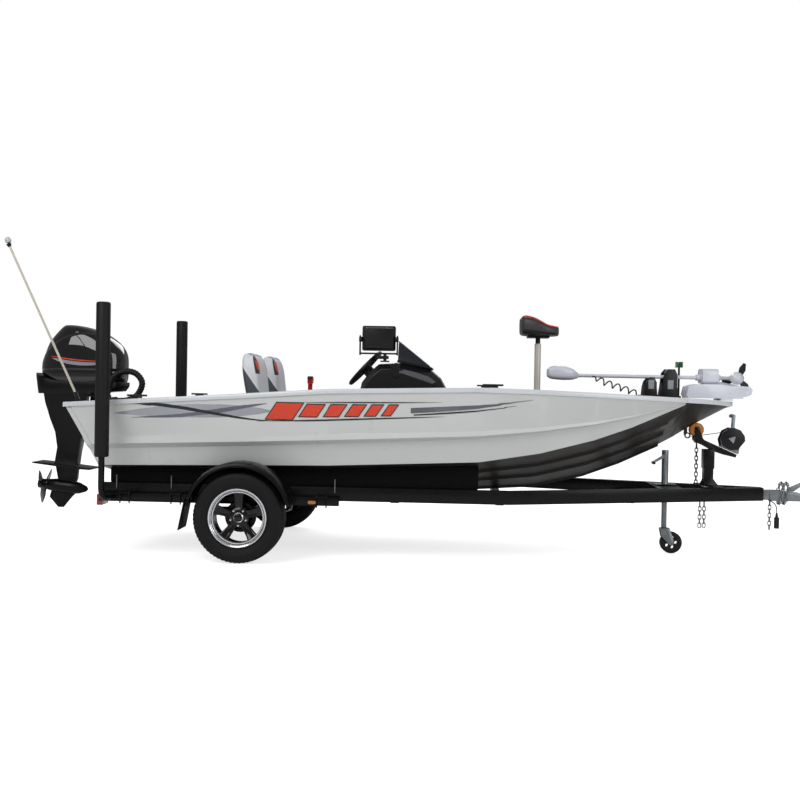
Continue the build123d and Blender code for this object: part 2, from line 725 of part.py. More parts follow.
# Seat boxes, cushions and folding backs
HINGE_PLATE_Y = 250.0
CUSHION_Z = (925.0, 1020.0)
with BuildPart() as seat_boxes:
    for side in (1, -1):
        with BuildSketch(Plane.XY.offset(FLOOR_Z + SEAT_GAP)):
            with Locations((SEAT_HINGE[0] + 220, side * SEAT_Y)):
                RectangleRounded(430, 380, 30)
        extrude(amount=CUSHION_Z[0] - FLOOR_Z - SEAT_GAP, taper=2)
        for across in (HINGE_PLATE_Y, 14 - HINGE_PLATE_Y):
            with BuildSketch(beside(side * SEAT_Y + across)):
                with BuildLine():
                    back, ahead = SEAT_HINGE[0] - 20, SEAT_HINGE[0] + 25
                    Polyline((back, 915), (ahead, 915), (ahead, 1000), (ahead - 5, 1088), (back + 2, 1088),
                             (back, 1000), close=True)
                make_face()
            extrude(amount=14)
        pin_in, pin_out = SEAT_W / 2 + SEAT_GAP, HINGE_PLATE_Y - 7
        for outer, inner in ((pin_out, pin_in), (-pin_in, -pin_out)):
            with BuildSketch(beside(side * SEAT_Y + outer)):
                with Locations(SEAT_HINGE):
                    Circle(12)
            extrude(amount=outer - inner)
        with BuildSketch(Plane.XY.offset(CUSHION_Z[0] - 14)):
            with Locations((SEAT_HINGE[0] + 15, side * SEAT_Y)):
                Rectangle(60, 500)
        extrude(amount=14)
keep(seat_boxes, "seat_boxes")
with BuildPart() as seat_cushions:
    for side in (1, -1):
        with BuildSketch(Plane.XY.offset(CUSHION_Z[0] + SEAT_GAP)):
            with Locations(((SEAT_FRONT_X + SEAT_HINGE[0] + 50) / 2, side * SEAT_Y)):
                RectangleRounded(SEAT_FRONT_X - SEAT_HINGE[0] - 50, SEAT_W, 60)
        extrude(amount=CUSHION_Z[1] - CUSHION_Z[0])
keep(seat_cushions, "seat_cushions")
# Seat backs, leaning aft: side outline ahead of the hinge, then columns: share of the half-width, scale
SEAT_BACK_SIDE = [
    (30.0, 1032.0), (35.0, 1120.0), (17.0, 1290.0), (-5.0, 1430.0), (-43.0, 1498.0), (-87.0, 1492.0),
    (-111.0, 1425.0), (-99.0, 1280.0), (-73.0, 1110.0), (-43.0, 1022.0), (-5.0, 1010.0),
]
SEAT_BACK_MID = (-27.0, 1250.0)
SEAT_BACK_FORM = [(-1.0, 0.84), (-0.78, 0.97), (0.0, 1.0), (0.78, 0.97), (1.0, 0.84)]
for side, label in ((1, "seat_back_port"), (-1, "seat_back_starboard")):
    with BuildPart() as seat_back:
        for share, scale in SEAT_BACK_FORM:
            with BuildSketch(beside(side * SEAT_Y + share * SEAT_W / 2)):
                with BuildLine():
                    Polyline(
                        *[(SEAT_HINGE[0] + SEAT_BACK_MID[0] + (ahead - SEAT_BACK_MID[0]) * scale,
                           SEAT_BACK_MID[1] + (z - SEAT_BACK_MID[1]) * scale) for ahead, z in SEAT_BACK_SIDE],
                        close=True,
                    )
                make_face()
        loft(ruled=True)
    keep(seat_back, label)

# Bow seat: deck plate, tube and spring post, then the swivelling saddle
with BuildPart() as pedestal:
    with BuildSketch(Plane.XY.offset(FRONT_DECK_Z + SEAT_GAP)):
        with Locations((PEDESTAL_X, 0)):
            RectangleRounded(180, 180, 30)
    extrude(amount=10)
    with BuildSketch(Plane.XY.offset(FRONT_DECK_Z + 5)):
        with Locations((PEDESTAL_X, 0)):
            Circle(38)
    extrude(amount=40, taper=14)
    with BuildSketch(Plane.XY.offset(FRONT_DECK_Z + 5)):
        with Locations((PEDESTAL_X, 0)):
            Circle(25)
    extrude(amount=1624 - FRONT_DECK_Z - 5)
    with BuildSketch(Plane.XY.offset(1624)):
        with Locations((PEDESTAL_X, 0)):
            Circle(19)
    extrude(amount=44)
keep(pedestal, "pedestal")
SADDLE = [(805.0, 1700.0), (812.0, 1775.0), (830.0, 1826.0), (862.0, 1837.0), (905.0, 1800.0),
          (1000.0, 1772.0), (1075.0, 1762.0), (1108.0, 1735.0), (1100.0, 1705.0), (1040.0, 1681.0),
          (860.0, 1681.0)]
with BuildPart() as bow_seat:
    for offset, shrink in ((-185.0, 0.72), (-130.0, 0.94), (0.0, 1.0), (130.0, 0.94), (185.0, 0.72)):
        with BuildSketch(beside(offset)):
            with BuildLine():
                Polyline(
                    *[(PEDESTAL_X + (x - PEDESTAL_X) * shrink,
                       1681 + (z - 1681) * (0.55 + 0.45 * (shrink - 0.72) / 0.28)) for x, z in SADDLE],
                    close=True,
                )
            make_face()
    loft(ruled=True)
    with BuildSketch(Plane.XY.offset(1668 + SEAT_GAP)):
        with Locations((PEDESTAL_X, 0)):
            RectangleRounded(170, 150, 20)
    extrude(amount=14)
keep(bow_seat, "bow_seat")

# Bow motor, built on a plane that follows the slant of its shaft
yaw_cos, yaw_sin = math.cos(math.radians(TM_YAW)), math.sin(math.radians(TM_YAW))


def tm_beside(along=0.0, across=0.0):
    """Upright plane through the bow motor's hinge: x along the shaft from the hinge, y up, z to starboard."""
    return Plane(
        origin=(
            TM_HINGE[0] + along * yaw_cos - across * yaw_sin,
            TM_HINGE[1] + along * yaw_sin + across * yaw_cos, 0,
        ),
        x_dir=(yaw_cos, yaw_sin, 0), z_dir=(yaw_sin, -yaw_cos, 0),
    )


def tm_section(along, z=TM_SHAFT_Z):
    """Plane square to the shaft, looking forward."""
    side = tm_beside(along)
    return Plane(origin=(side.origin.X, side.origin.Y, z), x_dir=(yaw_sin, -yaw_cos, 0), z_dir=side.x_dir)


MOUNT_SIDE = [
    (-495.0, 1246.0), (-480.0, 1306.0), (-430.0, 1322.0), (-380.0, 1326.0), (-220.0, 1326.0),
    (-150.0, 1322.0), (-60.0, 1316.0), (10.0, 1312.0), (28.0, 1290.0), (20.0, 1252.0), (-20.0, 1236.0),
    (-120.0, 1226.0), (-480.0, 1226.0),
]
TM_BASE_Z = 1219.5
TM_PIN_R = 12.0
with BuildPart() as tm_mount:
    with BuildSketch(tm_beside(0, -62)):
        with BuildLine():
            Polyline(*MOUNT_SIDE, close=True)
        make_face()
    extrude(amount=24, dir=(-tm_beside().z_dir))
    with BuildSketch(tm_beside(0, 62)):
        with BuildLine():
            Polyline(*MOUNT_SIDE, close=True)
        make_face()
    extrude(amount=24)
    with BuildSketch(Plane.XY.offset(TM_BASE_Z)):
        with Locations(Location((tm_beside(-265).origin.X, tm_beside(-265).origin.Y, 0), TM_YAW)):
            Rectangle(440, 124)
    extrude(amount=18)
    with BuildSketch(Plane.XY.offset(TM_BASE_Z - 15)):
        with Locations(Location((tm_beside(-180).origin.X, tm_beside(-180).origin.Y, 0), TM_YAW)):
            Rectangle(90, 150)
    extrude(amount=15)
    with BuildSketch(tm_beside(0, 70)):
        with Locations((0, TM_HINGE[2])):
            Circle(TM_PIN_R + SEAT_GAP)
    extrude(amount=140, mode=Mode.SUBTRACT)
keep(tm_mount, "tm_mount")
with BuildPart() as tm_rests:
    for along, length, top, foot in ((-770.0, 90.0, 1372.0, 110.0), (-620.0, 112.0, 1436.0, 150.0)):
        for side in (1, -1):
            with BuildSketch(tm_beside(along, side * 26)):
                with BuildLine():
                    Polyline((-foot / 2, FRONT_DECK_Z + SEAT_GAP), (-length / 2, 1300),
                             (-length / 2 + 12, top - 30),
                             (-length / 2 + 36, top), (length / 2 - 20, top), (length / 2, top - 40),
                             (length / 2, 1300), (foot / 2, FRONT_DECK_Z + SEAT_GAP), close=True)
                make_face()
            extrude(amount=18, dir=tm_beside().z_dir * -side)
        with BuildSketch(tm_beside(along)):
            with BuildLine():
                Polyline((-foot / 2, FRONT_DECK_Z + SEAT_GAP), (-length / 2, 1300), (-length / 2, 1330),
                         (length / 2, 1330), (length / 2, 1300),
                         (foot / 2, FRONT_DECK_Z + SEAT_GAP), close=True)
            make_face()
        extrude(amount=26.5, both=True)
keep(tm_rests, "tm_rests")
with BuildPart() as tm_housing:
    with BuildSketch(tm_section(-365.0, TM_SHAFT_Z + 12)):
        RectangleRounded(104, 112, 26)
    extrude(amount=126)
    with BuildSketch(tm_section(-400.0)):
        Circle(23)
    extrude(amount=190)
    with BuildSketch(tm_section(-405.0)):
        Circle(TM_SHAFT_R + 0.2)
    extrude(amount=200, mode=Mode.SUBTRACT)
    with BuildSketch(tm_beside(0, 32)):
        with BuildLine():
            Polyline((-350, 1352), (-350, 1300), (-20, 1262), (0, 1268), (18, 1285), (10, 1306), (-250, 1352),
                     close=True)
        make_face()
    extrude(amount=64)
    with BuildSketch(tm_beside(0, 61.7)):
        with Locations((0, TM_HINGE[2])):
            Circle(TM_PIN_R)
    extrude(amount=123.4)
keep(tm_housing, "tm_housing")
POD_TURN = 18.0
pod_mid = tm_section(-70.0).origin
pod_dir = Vector(-math.sin(math.radians(POD_TURN)), -math.cos(math.radians(POD_TURN)), 0)
POD_SIDE = [
    (-150, 0), (-150, 30), (-120, 44), (-60, TM_POD_R), (90, TM_POD_R), (130, 40), (158, 22), (166, 0),
]
with BuildPart() as tm_motor:
    with BuildSketch(tm_section(-1345.0)):
        Circle(TM_SHAFT_R)
    extrude(amount=1240)
    with BuildSketch(tm_section(-1560.0, TM_SHAFT_Z + 18)):
        RectangleRounded(78, 62, 28)
    with BuildSketch(tm_section(-1500.0, TM_SHAFT_Z + 20)):
        RectangleRounded(104, 100, 44)
    with BuildSketch(tm_section(-1400.0, TM_SHAFT_Z + 12)):
        RectangleRounded(92, 84, 36)
    with BuildSketch(tm_section(-1339.0)):
        RectangleRounded(44, 44, 20)
    loft(ruled=True)
    with BuildSketch(Plane(origin=pod_mid, x_dir=pod_dir, z_dir=(pod_dir.Y, -pod_dir.X, 0))):
        with BuildLine():
            Polyline(*POD_SIDE, close=True)
        make_face()
    revolve(axis=Axis(pod_mid, pod_dir))
    with BuildSketch(tm_section(-132.0)):
        Circle(19)
    extrude(amount=40)
keep(tm_motor, "tm_motor")

# Blade sections of the bow motor. Columns: distance from the hub's axis, chord, twist, thickness
TM_BLADE = [(20, 38, 55, 6), (80, 62, 40, 4), (TM_PROP_R, 22, 30, 3)]
with BuildPart() as tm_prop:
    hub = pod_mid - pod_dir * (150 + SEAT_GAP)
    hub_face = Plane(origin=hub, x_dir=(0, 0, 1), z_dir=-pod_dir)
    with BuildSketch(hub_face):
        Circle(27)
    extrude(amount=46, taper=8)
    for turn in (20, 140, 260):
        spin = math.radians(turn)
        radial = hub_face.x_dir * math.cos(spin) + hub_face.y_dir * math.sin(spin)
        for reach, chord, twist, thick in TM_BLADE:
            with BuildSketch(Plane(origin=hub - pod_dir * 24 + radial * reach, x_dir=-pod_dir, z_dir=radial)
                             .rotated((0, 0, twist))):
                Rectangle(thick, chord)
        loft(ruled=True)
keep(tm_prop, "tm_prop")

# Outboard clamp bracket: two cheeks hooked over the transom notch
CHEEK = [
    (-2396.0, NOTCH_Z + SEAT_GAP), (-2396.0, 1092.0), (-2455.0, 1132.0), (-2520.0, 1126.0),
    (-2572.0, 1010.0), (-2540.0, 800.0), (transom_x(800.0) - SEAT_GAP, 800.0),
    (transom_x(NOTCH_Z) - SEAT_GAP, NOTCH_Z + SEAT_GAP),
]
CHEEK_IN, CHEEK_OUT = 110.0, 136.0
with BuildPart() as clamp_bracket:
    for low in (CHEEK_IN, -CHEEK_OUT):
        with BuildSketch(beside(low)):
            with BuildLine():
                Polyline(*CHEEK, close=True)
            make_face()
        extrude(amount=-(CHEEK_OUT - CHEEK_IN))
    with Locations(Location((TILT[0], 0, TILT[1]), (90, 0, 0))):
        Cylinder(14, 2 * CHEEK_IN + 1)
keep(clamp_bracket, "clamp_bracket")

# Swivel bracket, which tilts: sleeve on the tilt tube, block and steering tube
trim = math.radians(TRIM)
steer_dir = Vector(math.sin(trim), 0, math.cos(trim))


def on_steer_axis(along):
    """Plane square to the steering axis, at a distance above its middle."""
    origin = Vector(STEER_AXIS_X, 0, STEER_AXIS_Z) + steer_dir * along
    return Plane(origin=origin, x_dir=(math.cos(trim), 0, -math.sin(trim)), z_dir=steer_dir)


SWIVEL_LOW, SWIVEL_HIGH = -160.0, 140.0
with BuildPart() as swivel_bracket:
    with BuildSketch(beside(0)):
        with BuildLine():
            Polyline((-2450, 1078), (-2450, 1112), (-2480, 1128), (-2575, 1136), (-2590, 1010), (-2605, 860),
                     (-2560, 870), (-2530, 1040), close=True)
        make_face()
    extrude(amount=78, both=True)
    with BuildSketch(on_steer_axis(SWIVEL_LOW)):
        Circle(42)
    extrude(amount=SWIVEL_HIGH - SWIVEL_LOW)
    with BuildSketch(beside(0)):
        with Locations(TILT):
            Circle(30)
    extrude(amount=CHEEK_IN - SEAT_GAP, both=True)
    with BuildSketch(beside(0)):
        with Locations(TILT):
            Circle(14 + SEAT_GAP)
    extrude(amount=CHEEK_IN + 5, both=True, mode=Mode.SUBTRACT)
keep(swivel_bracket, "swivel_bracket")

SEAM = [(-3035.0, 1330.0), (-2960.0, 1296.0), (-2850.0, 1270.0), (-2340.0, 1262.0)]


def cowl_plan(length, width, mid_x, corner):
    """Rounded plan outline of a cowl, below it."""
    with BuildSketch(Plane.XY.offset(1100.0)) as plan:
        with Locations((mid_x, 0)):
            RectangleRounded(length, width, corner)
    return plan.sketch


# Lower cowl and leg with the anti-ventilation plate, gearcase and skeg
LEG_REAR = [(-3000.0, 1200.0), (-2982.0, 1097.0), (-2939.0, 963.0), (-2896.0, 854.0), (-2878.0, 734.0),
            (-2900.0, 600.0)]
LEG_FRONT = [(-2725.0, 570.0), (-2708.0, 700.0), (-2682.0, 830.0), (-2655.0, 1140.0), (-2650.0, 1200.0)]
with BuildPart() as outboard_leg:
    with BuildSketch(beside(0)):
        with BuildLine():
            Polyline(*[(x, z - SEAT_GAP) for x, z in SEAM], (-2345, 1236), (-2395, 1190), (-2650, 1166),
                     (-2990, 1166), (-3012, 1262), close=True)
        make_face()
    extrude(amount=COWL_W / 2 - 6, both=True)
    extrude(cowl_plan(700.0, COWL_W - 12.0, -2688.0, 120.0), amount=700, mode=Mode.INTERSECT)
    with BuildSketch(beside(0)):
        with BuildLine():
            Polyline(*LEG_REAR, *LEG_FRONT, close=True)
        make_face()
    extrude(amount=52, both=True)
    for offset, height in ((SWIVEL_HIGH + SEAT_GAP, 26.0), (SWIVEL_LOW - SEAT_GAP - 30.0, 30.0)):
        with BuildSketch(on_steer_axis(offset)):
            with Locations((-60, 0)):
                SlotOverall(220, 88)
        extrude(amount=height)
    with BuildSketch(beside(0)):
        with BuildLine():
            Polyline((-2905, 610), (-2880, 480), (-2890, 400), (-2760, 395), (-2725, 480), (-2715, 590),
                     close=True)
        make_face()
    extrude(amount=22, both=True)
    with BuildSketch(beside(0)):
        with BuildLine():
            Polyline((-3055, 608), (-3055, 618), (-2880, 604), (-2600, 574), (-2590, 560), (-2720, 568),
                     close=True)
        make_face()
    extrude(amount=118, both=True)
    with BuildSketch(beside(0)):
        with BuildLine():
            Polyline((-2930, 410), (-2952, 330), (-2880, 248), (-2836, 248), (-2770, 330), (-2700, 400),
                     close=True)
        make_face()
    extrude(amount=7, both=True)
    gear_dir = Vector(math.cos(trim), 0, -math.sin(trim))
    gear_tail = Vector(-2962.0, 0, 430.0)
    with BuildSketch(Plane(origin=gear_tail, x_dir=gear_dir, z_dir=(0, -1, 0))):
        with BuildLine():
            Polyline((0, 0), (0, 44), (60, 54), (180, 56), (260, 44), (312, 22), (330, 0), close=True)
        make_face()
    revolve(axis=Axis(gear_tail, gear_dir))
keep(outboard_leg, "outboard_leg")

# Propeller: hub and three twisted blades
with BuildPart() as propeller:
    prop_face = Plane(origin=gear_tail - gear_dir * SEAT_GAP, x_dir=(0, 1, 0), z_dir=-gear_dir)
    with BuildSketch(prop_face):
        Circle(43)
    extrude(amount=78, taper=4)
    for turn in (90, 210, 330):
        spin = math.radians(turn)
        radial = Vector(0, 1, 0) * math.cos(spin) + prop_face.y_dir * math.sin(spin)
        mid = prop_face.origin + prop_face.z_dir * 38
        for reach, chord, twist, thick in (
            (34, 78, 50, 9), (95, 120, 38, 7), (140, 104, 30, 5), (PROP_R, 44, 26, 3),
        ):
            with BuildSketch(Plane(origin=mid + radial * reach, x_dir=prop_face.z_dir, z_dir=radial)
                             .rotated((0, 0, twist))):
                Rectangle(thick, chord)
        loft(ruled=True)
keep(propeller, "propeller")

# Top cowl
COWL_SIDE = [
    (-2334.0, 1346.0), (-2332.0, 1480.0), (-2395.0, 1560.0), (-2471.0, 1631.0), (-2640.0, 1694.0),
    (-2811.0, 1716.0), (-2850.0, 1690.0), (-2904.0, 1630.0), (-2944.0, 1573.0), (-2985.0, 1450.0),
    (-3010.0, 1343.0),
]
COWL_FRONT = [(-200.0, 1250.0), (-200.0, 1470.0), (-176.0, 1590.0), (-128.0, 1690.0), (-60.0, 1724.0)]
with BuildPart() as top_cowl:
    with BuildSketch(beside(0)):
        with BuildLine():
            Polyline(*[(x, z + SEAT_GAP) for x, z in SEAM[1:]], *COWL_SIDE, close=True)
        make_face()
    extrude(amount=COWL_W / 2, both=True)
    with BuildSketch(at_station(-3100.0)):
        with BuildLine():
            Polyline(*COWL_FRONT, *[(-y, z) for y, z in reversed(COWL_FRONT)], close=True)
        make_face()
    extrude(amount=900, mode=Mode.INTERSECT)
    extrude(cowl_plan(690.0, COWL_W, -2678.0, 130.0), amount=700, mode=Mode.INTERSECT)
keep(top_cowl, "top_cowl")

# Curly cord of the bow motor: one fat tube from the shaft's clip to the deck
CURLY_R = 28.0
CURLY_ROUTE = [(1335.0, -360.0, 1370.0), (1425.0, -346.0, 1328.0), (1530.0, -330.0, 1294.0),
               (1630.0, -312.0, 1262.0), (1706.0, -297.0, 1230.0)]
curly_path = cord_path(CURLY_ROUTE)
with BuildPart() as curly_cord:
    sweep(round_end(curly_path, CURLY_R), path=curly_path)
keep(curly_cord, "curly_cord")

# Trailer frame: rails, cross members under them, side beams, clamp plates and spring hangers
RAIL_INNER_NOSE_X = RAIL_NOSE_X - 70
HANGER_IN, HANGER_OUT, HANGER_LOW_Z, HANGER_TAPER = 295.0, 345.0, 366.0, 6.0
CLAMP_XS = [SIDE_BEAM_X[0] + 193, SIDE_BEAM_X[0] + 568, SIDE_BEAM_X[1] - 122]
CLAMP_LENGTH, CLAMP_STEP, CLAMP_BOLT_R, CLAMP_LIP = 90.0, 34.0, 5.0, 18.0
JACK_PLATE_HALF = 95.0
rail_low = RAIL_TOP - RAIL_H


def rail_inner_y(x):
    """Inner face of the rail at x, less the seat gap."""
    if x <= RAIL_BEND_X:
        return RAIL_Y - RAIL_W / 2 - SEAT_GAP
    share = (x - RAIL_BEND_X) / (RAIL_INNER_NOSE_X - RAIL_BEND_X)
    return (RAIL_Y - RAIL_W / 2) * (1 - share) - SEAT_GAP


with BuildPart() as trailer_frame:
    for side in (1, -1):
        outer, inner = side * (RAIL_Y + RAIL_W / 2), side * (RAIL_Y - RAIL_W / 2)
        bend = RAIL_BEND_X - SEAT_GAP
        with BuildSketch(Plane.XY.offset(rail_low)):
            with BuildLine():
                Polyline((RAIL_AFT_X, outer), (bend, outer), (bend, inner), (RAIL_AFT_X, inner), close=True)
            make_face()
            with BuildLine():
                Polyline(
                    (RAIL_BEND_X, outer), (RAIL_NOSE_X, side * (RAIL_NOSE_Y + RAIL_W / 2)),
                    (RAIL_NOSE_X, side * SEAT_GAP / 2), (RAIL_INNER_NOSE_X, side * SEAT_GAP / 2),
                    (RAIL_BEND_X, inner), close=True,
                )
            make_face()
        extrude(amount=RAIL_H)
        for end in (1, -1):
            with BuildSketch(beside(outer if side > 0 else inner)):
                with BuildLine():
                    Polyline(
                        (AXLE_X + end * HANGER_IN, rail_low - SEAT_GAP),
                        (AXLE_X + end * HANGER_OUT, rail_low - SEAT_GAP),
                        (AXLE_X + end * (HANGER_OUT - HANGER_TAPER), HANGER_LOW_Z),
                        (AXLE_X + end * (HANGER_IN + HANGER_TAPER), HANGER_LOW_Z), close=True,
                    )
                make_face()
            extrude(amount=RAIL_W)
        with BuildSketch(Plane.XY.offset(SIDE_BEAM_Z - SIDE_BEAM / 2)):
            with Locations(((SIDE_BEAM_X[0] + SIDE_BEAM_X[1]) / 2, side * SIDE_BEAM_Y)):
                Rectangle(SIDE_BEAM_X[1] - SIDE_BEAM_X[0], SIDE_BEAM)
        extrude(amount=SIDE_BEAM)
        plate_in = RAIL_Y + RAIL_W / 2 + SEAT_GAP
        plate_out = SIDE_BEAM_Y + SIDE_BEAM / 2 + CLAMP_LIP
        for x in CLAMP_XS:
            with BuildSketch(Plane.XY.offset(SIDE_BEAM_Z + SIDE_BEAM / 2 + SEAT_GAP)):
                with Locations((x, side * (plate_in + plate_out) / 2)):
                    Rectangle(CLAMP_LENGTH, plate_out - plate_in)
            extrude(amount=7)
            bolt_y = SIDE_BEAM_Y + SIDE_BEAM / 2 + CLAMP_BOLT_R + SEAT_GAP
            for step in (-CLAMP_STEP, CLAMP_STEP):
                with BuildSketch(Plane.XY.offset(SIDE_BEAM_Z - SIDE_BEAM / 2 - 14)):
                    with Locations((x + step, side * bolt_y)):
                        Circle(CLAMP_BOLT_R)
                extrude(amount=SIDE_BEAM + 32)
    with BuildSketch(Plane.XY.offset(CROSS_LOW_Z)):
        for x in CROSS_XS:
            with Locations((x, 0)):
                Rectangle(CROSS_W, 2 * rail_inner_y(x + CROSS_W / 2))
    extrude(amount=CROSS_H)
    with BuildSketch(Plane.XY.offset(RAIL_TOP - 8)):
        with BuildLine():
            low_x, high_x = JACK_X - JACK_PLATE_HALF, JACK_X + JACK_PLATE_HALF
            Polyline((low_x, rail_inner_y(low_x)), (high_x, rail_inner_y(high_x)),
                     (high_x, -rail_inner_y(high_x)), (low_x, -rail_inner_y(low_x)), close=True)
        make_face()
        with Locations((JACK_X, 0)):
            Circle(JACK_TUBE_R + SEAT_GAP, mode=Mode.SUBTRACT)
    extrude(amount=8)
keep(trailer_frame, "trailer_frame")

# Axle with its springs, plates and spindles
SPRING_REACH = (HANGER_IN + HANGER_OUT) / 2
SPRING_END_Z = (352.0, HANGER_LOW_Z - 2)
with BuildPart() as axle:
    with BuildSketch(beside(0)):
        with Locations((AXLE_X, TYRE_R)):
            Rectangle(AXLE_TUBE, AXLE_TUBE)
    extrude(amount=AXLE_TUBE_HALF, both=True)
    with BuildSketch(beside(0)):
        with Locations((AXLE_X, TYRE_R)):
            Circle(SPINDLE_R)
    extrude(amount=WHEEL_Y + 30, both=True)
    for side in (1, -1):
        with BuildSketch(beside(side * RAIL_Y + 22)):
            with BuildLine():
                low_z, high_z = SPRING_END_Z
                aft, fore = AXLE_X - SPRING_REACH, AXLE_X + SPRING_REACH
                ThreePointArc((aft, low_z), (AXLE_X, TYRE_R + AXLE_TUBE / 2 - 2), (fore, low_z))
                Line((fore, low_z), (fore, high_z))
                ThreePointArc((fore, high_z), (AXLE_X, TYRE_R + AXLE_TUBE / 2 + 22), (aft, high_z))
                Line((aft, high_z), (aft, low_z))
            make_face()
        extrude(amount=44)
keep(axle, "axle")

# Wheels: five-spoke rim with barrel and hub, and the tyre
for side, label in ((1, "port"), (-1, "starboard")):
    with BuildPart() as rim:
        wheel_axis = Axis((AXLE_X, 0, TYRE_R), (0, 1, 0))
        with BuildSketch(Plane(origin=(AXLE_X, side * WHEEL_Y, TYRE_R), x_dir=(1, 0, 0), z_dir=(0, 0, 1))):
            with BuildLine():
                Polyline(
                    (RIM_R, side * 98), (RIM_R, side * 90), (RIM_SEAT_R, side * 82),
                    (RIM_SEAT_R - 14, side * 20), (RIM_SEAT_R - 14, side * -20), (RIM_SEAT_R, side * -82),
                    (RIM_R, side * -90), (RIM_R, side * -96), (RIM_SEAT_R - 8, side * -88),
                    (RIM_SEAT_R - 24, side * -30), (RIM_SEAT_R - 24, side * 40), (RIM_SEAT_R - 10, side * 84),
                    (RIM_R - 10, side * 98), close=True,
                )
            make_face()
            with BuildLine():
                Polyline((SPINDLE_R + SEAT_GAP, side * -60), (HUB_R + 24, side * -60),
                         (HUB_R + 34, side * 24),
                         (HUB_R + 26, side * 44), (HUB_R, side * 48), (36, side * 70), (0, side * 74),
                         (0, side * 36), (SPINDLE_R + SEAT_GAP, side * 36), close=True)
            make_face()
        revolve(axis=wheel_axis)
        spoke_origin = (AXLE_X, side * (WHEEL_Y + 14), TYRE_R)
        with BuildSketch(Plane(origin=spoke_origin, x_dir=(0, 0, 1), z_dir=(0, side, 0))):
            for number in range(SPOKE_COUNT):
                turn = number * 360.0 / SPOKE_COUNT
                with Locations(Location((0, 0, 0), turn)):
                    with Locations((121, 0)):
                        Trapezoid(52, 110, 82, rotation=-90)
        extrude(amount=30)
        lug_origin = (AXLE_X, side * (WHEEL_Y + 44), TYRE_R)
        with BuildSketch(Plane(origin=lug_origin, x_dir=(0, 0, 1), z_dir=(0, side, 0))):
            with PolarLocations(LUG_CIRCLE_R, LUG_COUNT, start_angle=36):
                RegularPolygon(11, 6)
        extrude(amount=14)
    keep(rim, f"rim_{label}")
    with BuildPart() as tyre:
        with BuildSketch(Plane(origin=(AXLE_X, side * WHEEL_Y, TYRE_R), x_dir=(1, 0, 0), z_dir=(0, 0, 1))):
            half = TYRE_WIDTH / 2
            with BuildLine():
                Line((RIM_SEAT_R + SEAT_GAP, -78), (RIM_SEAT_R + SEAT_GAP, 78))
                Line((RIM_SEAT_R + SEAT_GAP, 78), (RIM_R + 6, 92))
                ThreePointArc((RIM_R + 6, 92), ((RIM_R + TYRE_R) / 2, half), (TYRE_R - 16, half - 12))
                ThreePointArc((TYRE_R - 16, half - 12), (TYRE_R - 3, half - 22), (TYRE_R, half - 40))
                Line((TYRE_R, half - 40), (TYRE_R, 40 - half))
                ThreePointArc((TYRE_R, 40 - half), (TYRE_R - 3, 22 - half), (TYRE_R - 16, 12 - half))
                ThreePointArc((TYRE_R - 16, 12 - half), ((RIM_R + TYRE_R) / 2, -half), (RIM_R + 6, -92))
                Line((RIM_R + 6, -92), (RIM_SEAT_R + SEAT_GAP, -78))
            make_face()
        revolve(axis=wheel_axis)
    keep(tyre, f"tyre_{label}")

# Fenders: crowned arcs with a rolled outer edge and a stay to the side beam
fender_y = WHEEL_Y + 8
with BuildPart() as fenders:
    for side in (1, -1):
        start = math.radians(FENDER_ARC[0])
        direction = Vector(math.cos(start), 0, math.sin(start))
        ahead = (-math.sin(start), 0, math.cos(start))
        with BuildSketch(Plane(origin=(AXLE_X, side * fender_y, TYRE_R), x_dir=direction, z_dir=ahead)):
            half = FENDER_WIDTH / 2
            wall = FENDER_WALL
            with BuildLine():
                Polyline(
                    (FENDER_R - 34, -half), (FENDER_R - 12, -half + 6), (FENDER_R, -half + 34),
                    (FENDER_R, half - 34), (FENDER_R - 12, half - 6), (FENDER_R - 34, half),
                    (FENDER_R - 34, half - wall), (FENDER_R - 12 - wall, half - 6 - wall),
                    (FENDER_R - wall, half - 36), (FENDER_R - wall, -half + 36),
                    (FENDER_R - 12 - wall, -half + 6 + wall), (FENDER_R - 34, -half + wall), close=True,
                )
            make_face()
        revolve(axis=Axis((AXLE_X, 0, TYRE_R), (0, -1, 0)), revolution_arc=FENDER_ARC[1] - FENDER_ARC[0])
        for x in (AXLE_X - 372.0, AXLE_X + 372.0):
            with BuildSketch(beside(side * (SIDE_BEAM_Y + SIDE_BEAM / 2 + SEAT_GAP))):
                with Locations((x, 442)):
                    Rectangle(24, 24)
            extrude(amount=-side * 50)
        with BuildSketch(beside(side * WHEEL_Y + 110)):
            with BuildLine():
                Polyline((-1584, 452), (-1578, 452), (-1620, 232), (-1628, 230), close=True)
            make_face()
        extrude(amount=220)
keep(fenders, "fenders")

# Bunk boards under the V bottom
with BuildPart() as bunks:
    for side in (1, -1):
        for x in (BUNK_X[0], -1272.0, -591.0, BUNK_X[1]):
            low_y, high_y = BUNK_Y - BUNK_W / 2, BUNK_Y + BUNK_W / 2
            with BuildSketch(at_station(x)):
                with BuildLine():
                    Polyline(
                        (side * low_y, RAIL_TOP + 2), (side * high_y, RAIL_TOP + 2),
                        (side * high_y, bottom_z(x, high_y) - 1.5), (side * low_y, bottom_z(x, low_y) - 1.5),
                        close=True,
                    )
                make_face()
        loft(ruled=True)
keep(bunks, "bunks")

